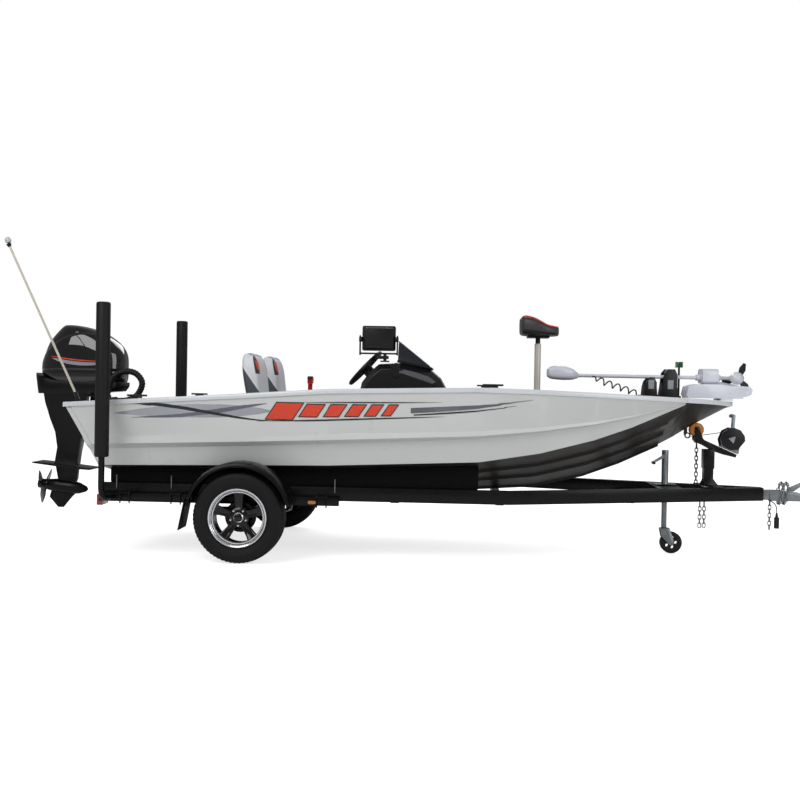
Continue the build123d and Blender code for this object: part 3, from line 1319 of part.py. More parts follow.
# Guide posts and their pads
with BuildPart() as guide_posts:
    for side in (1, -1):
        with BuildLine() as bend:
            FilletPolyline(
                (POST_X, side * (SIDE_BEAM_Y + SIDE_BEAM / 2 + SEAT_GAP), POST_FOOT_Z - 30),
                (POST_X, side * POST_Y, POST_FOOT_Z - 30), (POST_X, side * POST_Y, PAD_Z[1] - 30), radius=90,
            )
        with BuildSketch(Plane(origin=bend.line @ 0, z_dir=bend.line % 0)):
            Circle(POST_TUBE_R)
        sweep(path=bend.line)
keep(guide_posts, "guide_posts")
with BuildPart() as guide_pads:
    for side in (1, -1):
        with BuildSketch(Plane.XY.offset(PAD_Z[0])):
            with Locations((POST_X, side * POST_Y)):
                Circle(PAD_R)
        extrude(amount=PAD_Z[1] - PAD_Z[0])
        with BuildSketch(Plane.XY.offset(PAD_Z[0])):
            with Locations((POST_X, side * POST_Y)):
                Circle(POST_TUBE_R + SEAT_GAP)
        extrude(amount=PAD_Z[1] - PAD_Z[0] - 30 + SEAT_GAP, mode=Mode.SUBTRACT)
keep(guide_pads, "guide_pads")

# Winch post with its sleeve, gussets and slanting arm

def off_post(*pairs):
    """Points given as steps ahead of the winch post, with their heights."""
    return [(WINCH_POST_X + ahead, z) for ahead, z in pairs]


ARM = off_post(
    (-118, 890), (-110, 904), (-49, 904), (-33, 892), (214, 783), (206, 760), (113, 781), (40, 805),
    (-44, 850), (-82, 866.6), (-100, 866.6),
)
with BuildPart() as winch_post:
    with BuildSketch(Plane.XY.offset(RAIL_TOP)):
        with Locations((WINCH_POST_X + 10, 0)):
            Rectangle(154, 2 * rail_y(WINCH_POST_X) + 40)
    extrude(amount=10)
    with BuildSketch(Plane.XY.offset(RAIL_TOP)):
        with Locations((WINCH_POST_X, 0)):
            Rectangle(WINCH_POST_W - 8, WINCH_POST_W - 8)
    extrude(amount=280)
    with BuildSketch(Plane.XY.offset(671)):
        with Locations((WINCH_POST_X, 0)):
            Rectangle(WINCH_POST_W + 4, WINCH_POST_W)
    extrude(amount=150)
    with BuildSketch(beside(0)):
        with BuildLine():
            Polyline((WINCH_POST_X - 68, RAIL_TOP + 8), (WINCH_POST_X - 34, 600), (WINCH_POST_X + 34, 600),
                     (WINCH_POST_X + 84, RAIL_TOP + 8), close=True)
        make_face()
    extrude(amount=6, both=True)
    with BuildSketch(beside(0)):
        with BuildLine():
            Polyline(*ARM, close=True)
        make_face()
    extrude(amount=32, both=True)
    for side in (1, -1):
        with BuildSketch(beside(side * 38 + 4)):
            with BuildLine():
                Polyline(*off_post((-118, 892), (-112, 994), (-82, 994), (-45, 892)), close=True)
            make_face()
        extrude(amount=8)
    with BuildSketch(beside(0)):
        with Locations(ROLLER):
            Circle(9)
    extrude(amount=48, both=True)
    with BuildSketch(Plane.XY.offset(890)):
        with Locations((WINCH_POST_X - 84, 0)):
            Rectangle(64, 72)
    extrude(amount=14)
keep(winch_post, "winch_post")
with BuildPart() as bow_roller:
    with BuildSketch(Plane(origin=(ROLLER[0], 0, ROLLER[1]), x_dir=(1, 0, 0), z_dir=(0, 0, 1))):
        with BuildLine():
            Polyline((9.3, -33), (ROLLER_R, -33), (ROLLER_R, -24), (38, 0), (ROLLER_R, 24), (ROLLER_R, 33),
                     (9.3, 33), close=True)
        make_face()
    revolve(axis=Axis((ROLLER[0], 0, ROLLER[1]), (0, 1, 0)))
keep(bow_roller, "bow_roller")

# Winch: base, two side plates and drum, with the crank apart
WINCH_SHAFT = (WINCH_POST_X + 200, 868.0)
with BuildPart() as winch:
    for side in (1, -1):
        with BuildSketch(beside(side * 46 + 3)):
            with BuildLine():
                Polyline(*off_post((95, 842), (82, 900), (110, 968), (160, 994), (210, 985), (255, 930),
                                   (262, 890), (230, 835), (222, 788)), close=True)
            make_face()
        extrude(amount=6)
    with BuildSketch(beside(0)):
        with Locations(WINCH):
            Circle(DRUM_R)
    extrude(amount=44, both=True)
    with BuildSketch(beside(0)):
        with BuildLine():
            Polyline(*off_post((95, 842), (222, 788), (226, 796), (100, 852)), close=True)
        make_face()
    extrude(amount=44, both=True)
    with BuildSketch(beside(-50)):
        with BuildLine():
            Polyline(*off_post((78, 900), (94, 950), (130, 985), (180, 994), (230, 975), (262, 930),
                               (266, 892), (210, 822), (150, 822), (102, 848)), close=True)
        make_face()
    extrude(amount=24)
    with BuildSketch(beside(0)):
        with Locations(WINCH_SHAFT):
            Circle(9)
    extrude(amount=-70)
    with BuildSketch(beside(0)):
        with BuildLine():
            strap_end = BOW_EYE[0] + 24 + SEAT_GAP
            Polyline(*off_post((140, 961), (-87, 925), (-107, 922)), (strap_end, 921), (strap_end, 917),
                     *off_post((-106, 918), (-86, 921), (140, 957)), close=True)
        make_face()
    extrude(amount=12, both=True)
keep(winch, "winch")
with BuildPart() as winch_crank:
    with BuildSketch(beside(86)):
        with BuildLine():
            Polyline((WINCH_SHAFT[0] - 16, WINCH_SHAFT[1] - 14), (WINCH_SHAFT[0] + 16, WINCH_SHAFT[1] - 14),
                     *off_post((228, 1092), (200, 1094)), close=True)
        make_face()
    extrude(amount=8)
    with BuildSketch(beside(86)):
        with Locations(off_post((212, 1080))[0]):
            Circle(15)
    extrude(amount=-80)
    with BuildSketch(beside(88)):
        with Locations(WINCH_SHAFT):
            Circle(20)
    extrude(amount=17.7)
    with BuildSketch(beside(120)):
        with Locations(WINCH_SHAFT):
            Circle(9.2)
    extrude(amount=80, mode=Mode.SUBTRACT)
keep(winch_crank, "winch_crank")

# Chains: rows of flat-sided links, each turned square to its neighbours
LINK_WIRE = 8.0
LINK_INNER = 32.0


def link_face(plane):
    """Face of one chain link in the given plane, its length along the plane's x."""
    with BuildSketch(plane) as face:
        SlotOverall(LINK_INNER + 2 * LINK_WIRE, 30)
        SlotOverall(LINK_INNER, 30 - 2 * LINK_WIRE, mode=Mode.SUBTRACT)
    return face.sketch


CHAINS = [
    ((2200.0, 0.0, 842.3), (0.0, 0.0, -1.0), 10),
    ((2186.0, -212.0, 405.7), (0.0, 0.0, -1.0), 6),
    ((2222.0, -199.0, 405.7), (0.0, 0.0, -1.0), 6),
    ((2778.0, 18.0, 405.7), (0.0, 0.0, -1.0), 7),
]
with BuildPart() as chains:
    pitch = LINK_INNER - 2 * SEAT_GAP
    for start, run, count in CHAINS:
        run = Vector(*run)
        for number in range(count):
            middle = Vector(*start) + run * (number * pitch)
            normal = Vector(0, 1, 0) if number % 2 == 0 else Vector(1, 0, 0)
            extrude(link_face(Plane(origin=middle, x_dir=run, z_dir=normal)), amount=LINK_WIRE / 2, both=True)
keep(chains, "chains")

# Jack: outer tube with crank, inner leg, caster fork and wheel
with BuildPart() as jack_tube:
    with BuildSketch(Plane.XY.offset(JACK_TUBE_Z[0])):
        with Locations((JACK_X, 0)):
            Circle(JACK_TUBE_R)
            Circle(JACK_LEG_R + SEAT_GAP, mode=Mode.SUBTRACT)
    extrude(amount=JACK_TUBE_Z[1] - JACK_TUBE_Z[0])
    with BuildSketch(Plane.XY.offset(JACK_TUBE_Z[1])):
        with Locations((JACK_X, 0)):
            Circle(JACK_TUBE_R)
    extrude(amount=6)
    with BuildSketch(Plane.XY.offset(RAIL_TOP + SEAT_GAP)):
        with Locations((JACK_X, 0)):
            Rectangle(172, 110)
            Circle(JACK_TUBE_R - 2, mode=Mode.SUBTRACT)
    extrude(amount=12)
    with BuildSketch(beside(-JACK_TUBE_R + 4)):
        with Locations((JACK_X - 6, 768)):
            Circle(15)
    extrude(amount=26)
    with BuildSketch(beside(-JACK_TUBE_R - 14)):
        with BuildLine():
            Polyline((JACK_X - 8, 780), (JACK_X + 4, 760), (1856, 700), (1848, 716), close=True)
        make_face()
    extrude(amount=8)
    with BuildSketch(beside(-JACK_TUBE_R - 14)):
        with Locations((1855, 710)):
            Circle(11)
    extrude(amount=70)
keep(jack_tube, "jack_tube")
with BuildPart() as jack_leg:
    with BuildSketch(Plane.XY.offset(196)):
        with Locations((JACK_X, 0)):
            Circle(JACK_LEG_R)
    extrude(amount=330)
keep(jack_leg, "jack_leg")
jockey_x = JACK_X + JOCKEY_TRAIL
with BuildPart() as jockey_fork:
    with BuildSketch(Plane.XY.offset(182)):
        with Locations((JACK_X + 4, 0)):
            RectangleRounded(78, 76, 20)
    extrude(amount=196 - 182 - SEAT_GAP)
    for side in (1, -1):
        with BuildSketch(beside(side * 34 + 4)):
            with BuildLine():
                Polyline((JACK_X - 34, 190), (JACK_X + 42, 190), (jockey_x + 20, 98), (jockey_x + 14, 66),
                         (jockey_x - 14, 66), (JACK_X - 20, 130), close=True)
            make_face()
        extrude(amount=8)
    with BuildSketch(beside(0)):
        with Locations((jockey_x, JOCKEY_R)):
            Circle(7)
    extrude(amount=40, both=True)
keep(jockey_fork, "jockey_fork")
with BuildPart() as jockey_wheel:
    with BuildSketch(beside(0)):
        with Locations((jockey_x, JOCKEY_R)):
            Circle(JOCKEY_R)
            Circle(7.3, mode=Mode.SUBTRACT)
            with PolarLocations(38, 5):
                Circle(13, mode=Mode.SUBTRACT)
    extrude(amount=24, both=True)
keep(jockey_wheel, "jockey_wheel")

# Coupler on its stub, with the ball socket, and the latch lever
with BuildPart() as coupler:
    with BuildSketch(Plane.XY.offset(436)):
        with Locations((RAIL_NOSE_X + SEAT_GAP + 30, 0)):
            Rectangle(60, 64)
    extrude(amount=76)
    with BuildSketch(beside(0)):
        with BuildLine():
            Polyline((2762, 430), (2762, 512), (2850, 512), (2925, 498), (2995, 494), (3024, 470),
                     (3024, 430),
                     close=True)
        make_face()
    extrude(amount=44, both=True)
    with BuildSketch(Plane.XY.offset(400)):
        with Locations((2870, 0)):
            RectangleRounded(308, 88, 42)
        with Locations((RAIL_NOSE_X + SEAT_GAP + 70, 0)):
            Rectangle(140, 88)
    extrude(amount=150, mode=Mode.INTERSECT)
    with BuildSketch(Plane.XY.offset(430)):
        with Locations((COUPLER_X, 0)):
            Circle(BALL_BORE_R)
    extrude(amount=42, mode=Mode.SUBTRACT)
    with BuildSketch(beside(0)):
        with BuildLine():
            Polyline((2906, 502.5), (2950, 502.5), (3055, 578), (3046, 592), (2948, 546), (2908, 532),
                     close=True)
        make_face()
    extrude(amount=14, both=True)
keep(coupler, "coupler")

# Plug lead from the frame's nose, its clip and the plug
LEAD_R = 4.0
LEAD_ROUTE = [(2748.0, -47.0, 436.0), (2772.0, -51.0, 427.0), (2795.0, -55.0, 408.0), (2809.0, -56.0, 380.0),
              (2812.0, -56.0, 340.0)]
lead_path = cord_path(LEAD_ROUTE)
with BuildPart() as plug_lead:
    sweep(round_end(lead_path, LEAD_R), path=lead_path)
keep(plug_lead, "plug_lead")
with BuildPart() as plug:
    with BuildSketch(Plane.XY.offset(218)):
        with Locations((2812, -56)):
            RectangleRounded(36, 30, 8)
    extrude(amount=86)
    with BuildSketch(Plane.XY.offset(304)):
        with Locations((2812, -56)):
            Circle(12)
    extrude(amount=36 - SEAT_GAP, taper=8)
keep(plug, "plug")

# Rear lamps and side markers
with BuildPart() as lamps:
    for side in (1, -1):
        with BuildSketch(at_station(RAIL_AFT_X - SEAT_GAP)):
            with Locations((side * 690, 400)):
                RectangleRounded(150, 80, 10)
        extrude(amount=-40)
        with BuildSketch(beside(side * (SIDE_BEAM_Y + SIDE_BEAM / 2 + SEAT_GAP))):
            with Locations((-710, 424)):
                SlotOverall(60, 24)
        extrude(amount=-side * 14)
keep(lamps, "lamps")
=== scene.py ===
"""Dresses a bass boat on its trailer: materials, soft seats, wheels, cords and trim."""
import json
import math

import bpy
from bpy.props import FloatProperty, FloatVectorProperty, IntProperty, PointerProperty
from mathutils import Matrix, Vector


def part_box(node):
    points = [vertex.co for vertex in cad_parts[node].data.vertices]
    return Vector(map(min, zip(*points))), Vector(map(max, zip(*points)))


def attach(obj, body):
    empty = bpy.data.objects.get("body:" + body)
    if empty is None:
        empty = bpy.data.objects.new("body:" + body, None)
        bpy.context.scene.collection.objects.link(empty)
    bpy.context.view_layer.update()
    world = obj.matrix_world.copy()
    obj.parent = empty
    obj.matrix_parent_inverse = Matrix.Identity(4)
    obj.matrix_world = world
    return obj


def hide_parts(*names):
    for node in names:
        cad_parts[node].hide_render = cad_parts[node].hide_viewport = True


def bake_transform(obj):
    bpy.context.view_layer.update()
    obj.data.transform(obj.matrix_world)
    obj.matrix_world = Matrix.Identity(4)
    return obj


bl_info = {
    "name": "Bass boat on trailer",
    "version": (1, 0, 0),
    "blender": (4, 5, 0),
    "location": "View3D > Sidebar > Boat",
    "description": "Builds the visible pieces and finishes of a bass boat on its trailer",
    "category": "Object",
}

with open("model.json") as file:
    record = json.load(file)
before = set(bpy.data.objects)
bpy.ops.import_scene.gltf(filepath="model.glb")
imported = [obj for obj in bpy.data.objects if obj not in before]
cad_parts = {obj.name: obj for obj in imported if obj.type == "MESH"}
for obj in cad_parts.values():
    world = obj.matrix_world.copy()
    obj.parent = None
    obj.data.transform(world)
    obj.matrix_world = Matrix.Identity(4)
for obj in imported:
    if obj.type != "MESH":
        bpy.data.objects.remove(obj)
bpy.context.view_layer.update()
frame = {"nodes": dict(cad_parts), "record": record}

ROOT = "boat_on_trailer"
AXLE = Vector((-1.207, 0.0, 0.3235))
WHEEL_Y = 0.957

# Helm seats: hinge line of the backs, and middle of the port seat
HINGE_X = -1.160
SEAT_Y = 0.42

# Bow motor: hinge of its shaft and the way it points when stowed
MOTOR_X = 2.540
MOTOR_Y = -0.110
MOTOR_YAW = math.radians(9.6)

BODIES = frame["record"]["behaviour"]["bodies"]


# Small helpers

def lone(obj):
    """Select only this object and make it active."""
    bpy.ops.object.select_all(action="DESELECT")
    obj.select_set(True)
    bpy.context.view_layer.objects.active = obj


def merge(obj, distance=0.0001):
    """Weld doubled vertices and turn the faces outwards."""
    lone(obj)
    bpy.ops.object.mode_set(mode="EDIT")
    bpy.ops.mesh.select_all(action="SELECT")
    bpy.ops.mesh.remove_doubles(threshold=distance)
    bpy.ops.mesh.normals_make_consistent(inside=False)
    bpy.ops.object.mode_set(mode="OBJECT")


def smooth(obj, angle):
    """Smooth shading up to the given angle."""
    lone(obj)
    bpy.ops.object.shade_smooth_by_angle(angle=math.radians(angle))


def finish_with(obj, kind, **settings):
    """Add one modifier and apply it."""
    lone(obj)
    modifier = obj.modifiers.new(kind.title(), kind)
    for key, value in settings.items():
        setattr(modifier, key, value)
    bpy.ops.object.modifier_apply(modifier=modifier.name)


def skin(name, around, along, place):
    """A grid wrapped into shape: place(u, v) gives each point, with u and v from 0 to 1."""
    bpy.ops.object.select_all(action="DESELECT")
    bpy.ops.mesh.primitive_grid_add(x_subdivisions=around, y_subdivisions=along, size=1)
    obj = bpy.context.object
    obj.name = name
    for vertex in obj.data.vertices:
        u = round((vertex.co.x + 0.5) * around) / around
        v = round((vertex.co.y + 0.5) * along) / along
        vertex.co = place(u, v)
    merge(obj)
    return obj


def oval(turn, half_a, half_b, power):
    """Point of a rounded box at a share of a turn."""
    c, s = math.cos(math.tau * turn), math.sin(math.tau * turn)
    return (
        math.copysign(abs(c) ** (2 / power), c) * half_a,
        math.copysign(abs(s) ** (2 / power), s) * half_b,
    )


def row_at(rows, v):
    """Smoothly interpolated row of a table at a share of its length."""
    at = v * (len(rows) - 1)
    i = min(int(at), len(rows) - 2)
    t = at - i
    before = rows[max(i - 1, 0)]
    after = rows[min(i + 2, len(rows) - 1)]
    out = []
    for a, b, c, d in zip(before, rows[i], rows[i + 1], after):
        square = 2 * a - 5 * b + 4 * c - d
        cube = 3 * b - a - 3 * c + d
        out.append(0.5 * (2 * b + (c - a) * t + square * t * t + cube * t ** 3))
    return out


def run_of(points, count):
    """The same number of points spread evenly along a smooth line through the given ones."""
    fine = 24 * len(points)
    dense = [Vector(row_at(points, i / fine)) for i in range(fine + 1)]
    lengths = [0.0]
    for a, b in zip(dense, dense[1:]):
        lengths.append(lengths[-1] + (b - a).length)
    out, j = [], 0
    for i in range(count):
        goal = lengths[-1] * i / (count - 1)
        while j < len(lengths) - 2 and lengths[j + 1] < goal:
            j += 1
        share = (goal - lengths[j]) / max(lengths[j + 1] - lengths[j], 1e-9)
        out.append(dense[j].lerp(dense[j + 1], min(max(share, 0.0), 1.0)))
    return out


def frames_along(points, closed=False):
    """Two side directions at each point, carried along without twist."""
    count = len(points)
    sides, side = [], None
    for i in range(count):
        ahead = points[(i + 1) % count] if closed else points[min(i + 1, count - 1)]
        behind = points[(i - 1) % count] if closed else points[max(i - 1, 0)]
        along = (ahead - behind).normalized()
        if side is None:
            side = along.orthogonal().normalized()
        side = (side - along * side.dot(along)).normalized()
        sides.append((side.copy(), along.cross(side)))
    return sides


def tube(name, points, radius, sides, ripple=0.0, pitch=4):
    """Round tube through the points, with closed ends and an optional corrugation."""
    points = [Vector(p) for p in points]
    frames = frames_along(points)
    last = len(points) - 1

    def place(u, v):
        step = round(v * (last + 2))
        index = min(max(step - 1, 0), last)
        if step in (0, last + 2):
            return points[index]
        a, b = frames[index]
        size = radius - (ripple if (index // (pitch // 2)) % 2 else 0.0)
        turn = math.tau * u
        return points[index] + (a * math.cos(turn) + b * math.sin(turn)) * size

    return skin(name, sides, last + 2, place)


def ring_of(name, points, radius, sides):
    """Closed loop of round wire through the points."""
    points = [Vector(p) for p in points]
    frames = frames_along(points, closed=True)

    def place(u, v):
        index = round(v * len(points)) % len(points)
        a, b = frames[index]
        turn = math.tau * u
        return points[index] + (a * math.cos(turn) + b * math.sin(turn)) * radius

    return skin(name, sides, len(points), place)


def turned(name, profile, centre, axis, steps):
    """Profile of (radius, along) points turned about an axis; it closes where a radius is 0."""
    axis = Vector(axis).normalized()
    side = axis.orthogonal().normalized()
    other = axis.cross(side)

    def place(u, v):
        radius, along = profile[round(v * (len(profile) - 1))]
        turn = math.tau * u
        return Vector(centre) + axis * along + (side * math.cos(turn) + other * math.sin(turn)) * radius

    return skin(name, steps, len(profile) - 1, place)


def block(name, centre, size, bevel=0.003, turn=None):
    """Box with rounded edges, at its place."""
    bpy.ops.object.select_all(action="DESELECT")
    bpy.ops.mesh.primitive_cube_add(size=1)
    obj = bpy.context.object
    obj.name = name
    turn = turn or Matrix.Identity(4)
    obj.data.transform(Matrix.Translation(Vector(centre)) @ turn @ Matrix.Diagonal((*size, 1.0)))
    finish_with(obj, "BEVEL", width=bevel, segments=3, limit_method="ANGLE")
    return obj


def put(obj, body, slot, *materials):
    """Finish and body of a new piece; the slot is not used."""
    for material in materials:
        if material.name not in obj.data.materials:
            obj.data.materials.append(material)
    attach(obj, body)
    return obj


def paint(obj, material, wanted):
    """Give the faces whose centre and normal are wanted another material."""
    if material.name not in obj.data.materials:
        obj.data.materials.append(material)
    index = obj.data.materials.find(material.name)
    for face in obj.data.polygons:
        if wanted(face.center, face.normal):
            face.material_index = index


def repeat(obj, name, move):
    """Copy of a piece with its own mesh, moved by a matrix."""
    twin = obj.copy()
    twin.data = obj.data.copy()
    twin.name = name
    twin.data.transform(move)
    bpy.context.scene.collection.objects.link(twin)
    return twin


def mirrored(obj, name):
    """Copy of a piece on the other side of the boat."""
    twin = repeat(obj, name, Matrix.Diagonal((1, -1, 1, 1)))
    twin.data.flip_normals()
    return twin


def capped(obj):
    """Close the open rims of a skin and weld it."""
    lone(obj)
    bpy.ops.object.mode_set(mode="EDIT")
    bpy.ops.mesh.select_all(action="SELECT")
    bpy.ops.mesh.region_to_loop()
    bpy.ops.mesh.edge_face_add()
    bpy.ops.object.mode_set(mode="OBJECT")
    merge(obj)


def decal(name, around, along, place, target, offset):
    """Thin patch laid on a piece: place(u, v) gives its points beside the piece."""
    patch = skin(name, around, along, place)
    finish_with(patch, "SHRINKWRAP", target=target, wrap_method="NEAREST_SURFACEPOINT",
                wrap_mode="ABOVE_SURFACE", offset=offset)
    smooth(patch, 30.0)
    return patch


def shaft_point(along, across, height):
    """Point by the bow motor's shaft: along it from its hinge, across to port."""
    c, s = math.cos(MOTOR_YAW), math.sin(MOTOR_YAW)
    return Vector((MOTOR_X + along * c - across * s, MOTOR_Y + along * s + across * c, height))


def dressed(name, bevel, material, slot):
    """A welded copy of a CAD node with rounded edges, which stands for it."""
    obj = bpy.data.objects.new(f"{name}_skin", frame["nodes"][name].data.copy())
    bpy.context.scene.collection.objects.link(obj)
    obj.data.materials.clear()
    lone(obj)
    bpy.ops.object.mode_set(mode="EDIT")
    bpy.ops.mesh.select_all(action="SELECT")
    bpy.ops.mesh.remove_doubles(threshold=0.00005)
    bpy.ops.mesh.dissolve_limited(angle_limit=math.radians(1.0))
    bpy.ops.object.mode_set(mode="OBJECT")
    if bevel:
        finish_with(obj, "BEVEL", width=bevel, segments=2, limit_method="ANGLE",
                    angle_limit=math.radians(32.0), use_clamp_overlap=True)
    smooth(obj, 40.0)
    body = next(body for body, names in BODIES.items() if name in names)
    put(obj, body, slot, material)
    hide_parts(name)
    return obj


# Materials

def srgb(red, green, blue):
    """Linear colour from screen values of 0 to 255."""
    shares = (red / 255, green / 255, blue / 255)
    return tuple(((c + 0.055) / 1.055) ** 2.4 if c > 0.04 else c / 12.92 for c in shares)


def node(tree, kind, values=None, **settings):
    """New node with its settings and input values."""
    made = tree.nodes.new(kind)
    for key, value in settings.items():
        setattr(made, key, value)
    for key, value in (values or {}).items():
        made.inputs[key].default_value = value
    return made


def group(name, inputs, outputs):
    """Empty shader node group with float inputs and outputs."""
    tree = bpy.data.node_groups.new(name, "ShaderNodeTree")
    for label, default in inputs:
        socket = tree.interface.new_socket(label, in_out="INPUT", socket_type="NodeSocketFloat")
        socket.default_value = default
    for label in outputs:
        tree.interface.new_socket(label, in_out="OUTPUT", socket_type="NodeSocketFloat")
    return tree, tree.nodes.new("NodeGroupInput"), tree.nodes.new("NodeGroupOutput")


def noise_group(name, scale, cloud_scale, fine_look, cloud_look, low, high):
    """Two noises: the fine one gives the relief, the slow one a mask stretched from low to high."""
    tree, given, out = group(name, [("Scale", scale), ("Cloud scale", cloud_scale)], ["Mask", "Height"])
    coords = node(tree, "ShaderNodeTexCoord")
    fine = node(tree, "ShaderNodeTexNoise", fine_look)
    cloud = node(tree, "ShaderNodeTexNoise", cloud_look)
    spread = node(tree, "ShaderNodeMapRange", {"From Min": low, "From Max": high})
    link = tree.links.new
    link(coords.outputs["Object"], fine.inputs["Vector"])
    link(coords.outputs["Object"], cloud.inputs["Vector"])
    link(given.outputs["Scale"], fine.inputs["Scale"])
    link(given.outputs["Cloud scale"], cloud.inputs["Scale"])
    link(cloud.outputs["Fac"], spread.inputs["Value"])
    link(spread.outputs["Result"], out.inputs["Mask"])
    link(fine.outputs["Fac"], out.inputs["Height"])
    return tree


def grain_group():
    """Fine grain and slow cloudiness of a painted, moulded or plated face."""
    return noise_group("Grain", 200.0, 3.0, {"Detail": 4.0, "Roughness": 0.6},
                       {"Detail": 5.0, "Roughness": 0.62}, 0.32, 0.68)


def pile_group():
    """Short cut pile of marine carpet."""
    return noise_group("Carpet pile", 420.0, 9.0, {"Detail": 6.0, "Roughness": 0.8},
                       {"Detail": 8.0, "Roughness": 0.75}, 0.3, 0.7)


def leather_group():
    """Embossed cells of marine vinyl."""
    tree, given, out = group("Vinyl cells", [("Scale", 350.0), ("Cloud scale", 6.0)], ["Mask", "Height"])
    coords = node(tree, "ShaderNodeTexCoord")
    cells = node(tree, "ShaderNodeTexVoronoi", feature="DISTANCE_TO_EDGE")
    cloud = node(tree, "ShaderNodeTexNoise", {"Detail": 4.0})
    edge = node(tree, "ShaderNodeMapRange", {"From Max": 0.12})
    link = tree.links.new
    link(coords.outputs["Object"], cells.inputs["Vector"])
    link(coords.outputs["Object"], cloud.inputs["Vector"])
    link(given.outputs["Scale"], cells.inputs["Scale"])
    link(given.outputs["Cloud scale"], cloud.inputs["Scale"])
    link(cells.outputs["Distance"], edge.inputs["Value"])
    link(edge.outputs["Result"], out.inputs["Height"])
    link(cloud.outputs["Fac"], out.inputs["Mask"])
    return tree


def dust_group():
    """Road dust, thicker near the ground and broken up by noise."""
    tree, given, out = group("Road dust", [("Amount", 0.3), ("Top", 0.6)], ["Mask"])
    coords = node(tree, "ShaderNodeTexCoord")
    parts = node(tree, "ShaderNodeSeparateXYZ")
    noise = node(tree, "ShaderNodeTexNoise", {"Scale": 14.0, "Detail": 8.0, "Roughness": 0.7})
    fall = node(tree, "ShaderNodeMapRange", {"To Min": 1.0, "To Max": 0.0})
    broken = node(tree, "ShaderNodeMath", operation="MULTIPLY")
    scaled = node(tree, "ShaderNodeMath", operation="MULTIPLY", use_clamp=True)
    link = tree.links.new
    link(coords.outputs["Object"], parts.inputs["Vector"])
    link(coords.outputs["Object"], noise.inputs["Vector"])
    link(parts.outputs["Z"], fall.inputs["Value"])
    link(given.outputs["Top"], fall.inputs["From Max"])
    link(fall.outputs["Result"], broken.inputs[0])
    link(noise.outputs["Fac"], broken.inputs[1])
    link(broken.outputs["Value"], scaled.inputs[0])
    link(given.outputs["Amount"], scaled.inputs[1])
    link(scaled.outputs["Value"], out.inputs["Mask"])
    return tree


SOCKETS = {
    "metallic": "Metallic", "coat_weight": "Coat Weight", "coat_roughness": "Coat Roughness",
    "specular_ior_level": "Specular IOR Level",
}
EFFECTS = {}
MATERIALS = {}
DUST = srgb(150, 142, 128)
DUST_TOP = 0.6


def finish(name, colour, rough, effect="grain", scale=200.0, cloud=3.0, shade=0.9, rough_spread=0.06,
           bump=0.1, dust=0.0, **sockets):
    """One finish: two shades of a colour, roughness that varies, and a fine relief."""
    material = bpy.data.materials.new(name)
    material.use_nodes = True
    tree = material.node_tree
    bsdf = tree.nodes["Principled BSDF"]
    link = tree.links.new
    for key, value in sockets.items():
        bsdf.inputs[SOCKETS[key]].default_value = value
    look = node(tree, "ShaderNodeGroup", node_tree=EFFECTS[effect])
    look.inputs["Scale"].default_value = scale
    look.inputs["Cloud scale"].default_value = cloud
    mix = node(tree, "ShaderNodeMix", data_type="RGBA")
    mix.inputs["A"].default_value = (*[c * shade for c in colour], 1.0)
    mix.inputs["B"].default_value = (*colour, 1.0)
    link(look.outputs["Mask"], mix.inputs["Factor"])
    top = mix.outputs["Result"]
    if dust:
        dirt = node(tree, "ShaderNodeGroup", {"Amount": dust, "Top": DUST_TOP}, node_tree=EFFECTS["dust"])
        over = node(tree, "ShaderNodeMix", data_type="RGBA")
        over.inputs["B"].default_value = (*DUST, 1.0)
        link(top, over.inputs["A"])
        link(dirt.outputs["Mask"], over.inputs["Factor"])
        top = over.outputs["Result"]
    link(top, bsdf.inputs["Base Color"])
    smoothest, roughest = max(rough - rough_spread, 0.02), rough + rough_spread
    gloss = node(tree, "ShaderNodeMapRange", {"To Min": smoothest, "To Max": roughest})
    link(look.outputs["Mask"], gloss.inputs["Value"])
    link(gloss.outputs["Result"], bsdf.inputs["Roughness"])
    if bump:
        relief = node(tree, "ShaderNodeBump", {"Strength": bump, "Distance": 0.0006})
        link(look.outputs["Height"], relief.inputs["Height"])
        link(relief.outputs["Normal"], bsdf.inputs["Normal"])
    MATERIALS[name] = material
    return material


ZONE_EDGE = 0.0006


def zone(tree, coords, planes):
    """Mask inside a convex zone: the least of soft steps, one for each (x, y, z, offset) half-space."""
    mask = None
    for x, y, z, offset in planes:
        side = node(tree, "ShaderNodeVectorMath", {1: (x, y, z)}, operation="DOT_PRODUCT")
        edge = {"From Min": offset - ZONE_EDGE, "From Max": offset + ZONE_EDGE}
        step = node(tree, "ShaderNodeMapRange", edge)
        tree.links.new(coords, side.inputs[0])
        tree.links.new(side.outputs["Value"], step.inputs["Value"])
        if mask is None:
            mask = step.outputs["Result"]
            continue
        least = node(tree, "ShaderNodeMath", operation="MINIMUM")
        tree.links.new(mask, least.inputs[0])
        tree.links.new(step.outputs["Result"], least.inputs[1])
        mask = least.outputs["Value"]
    return mask


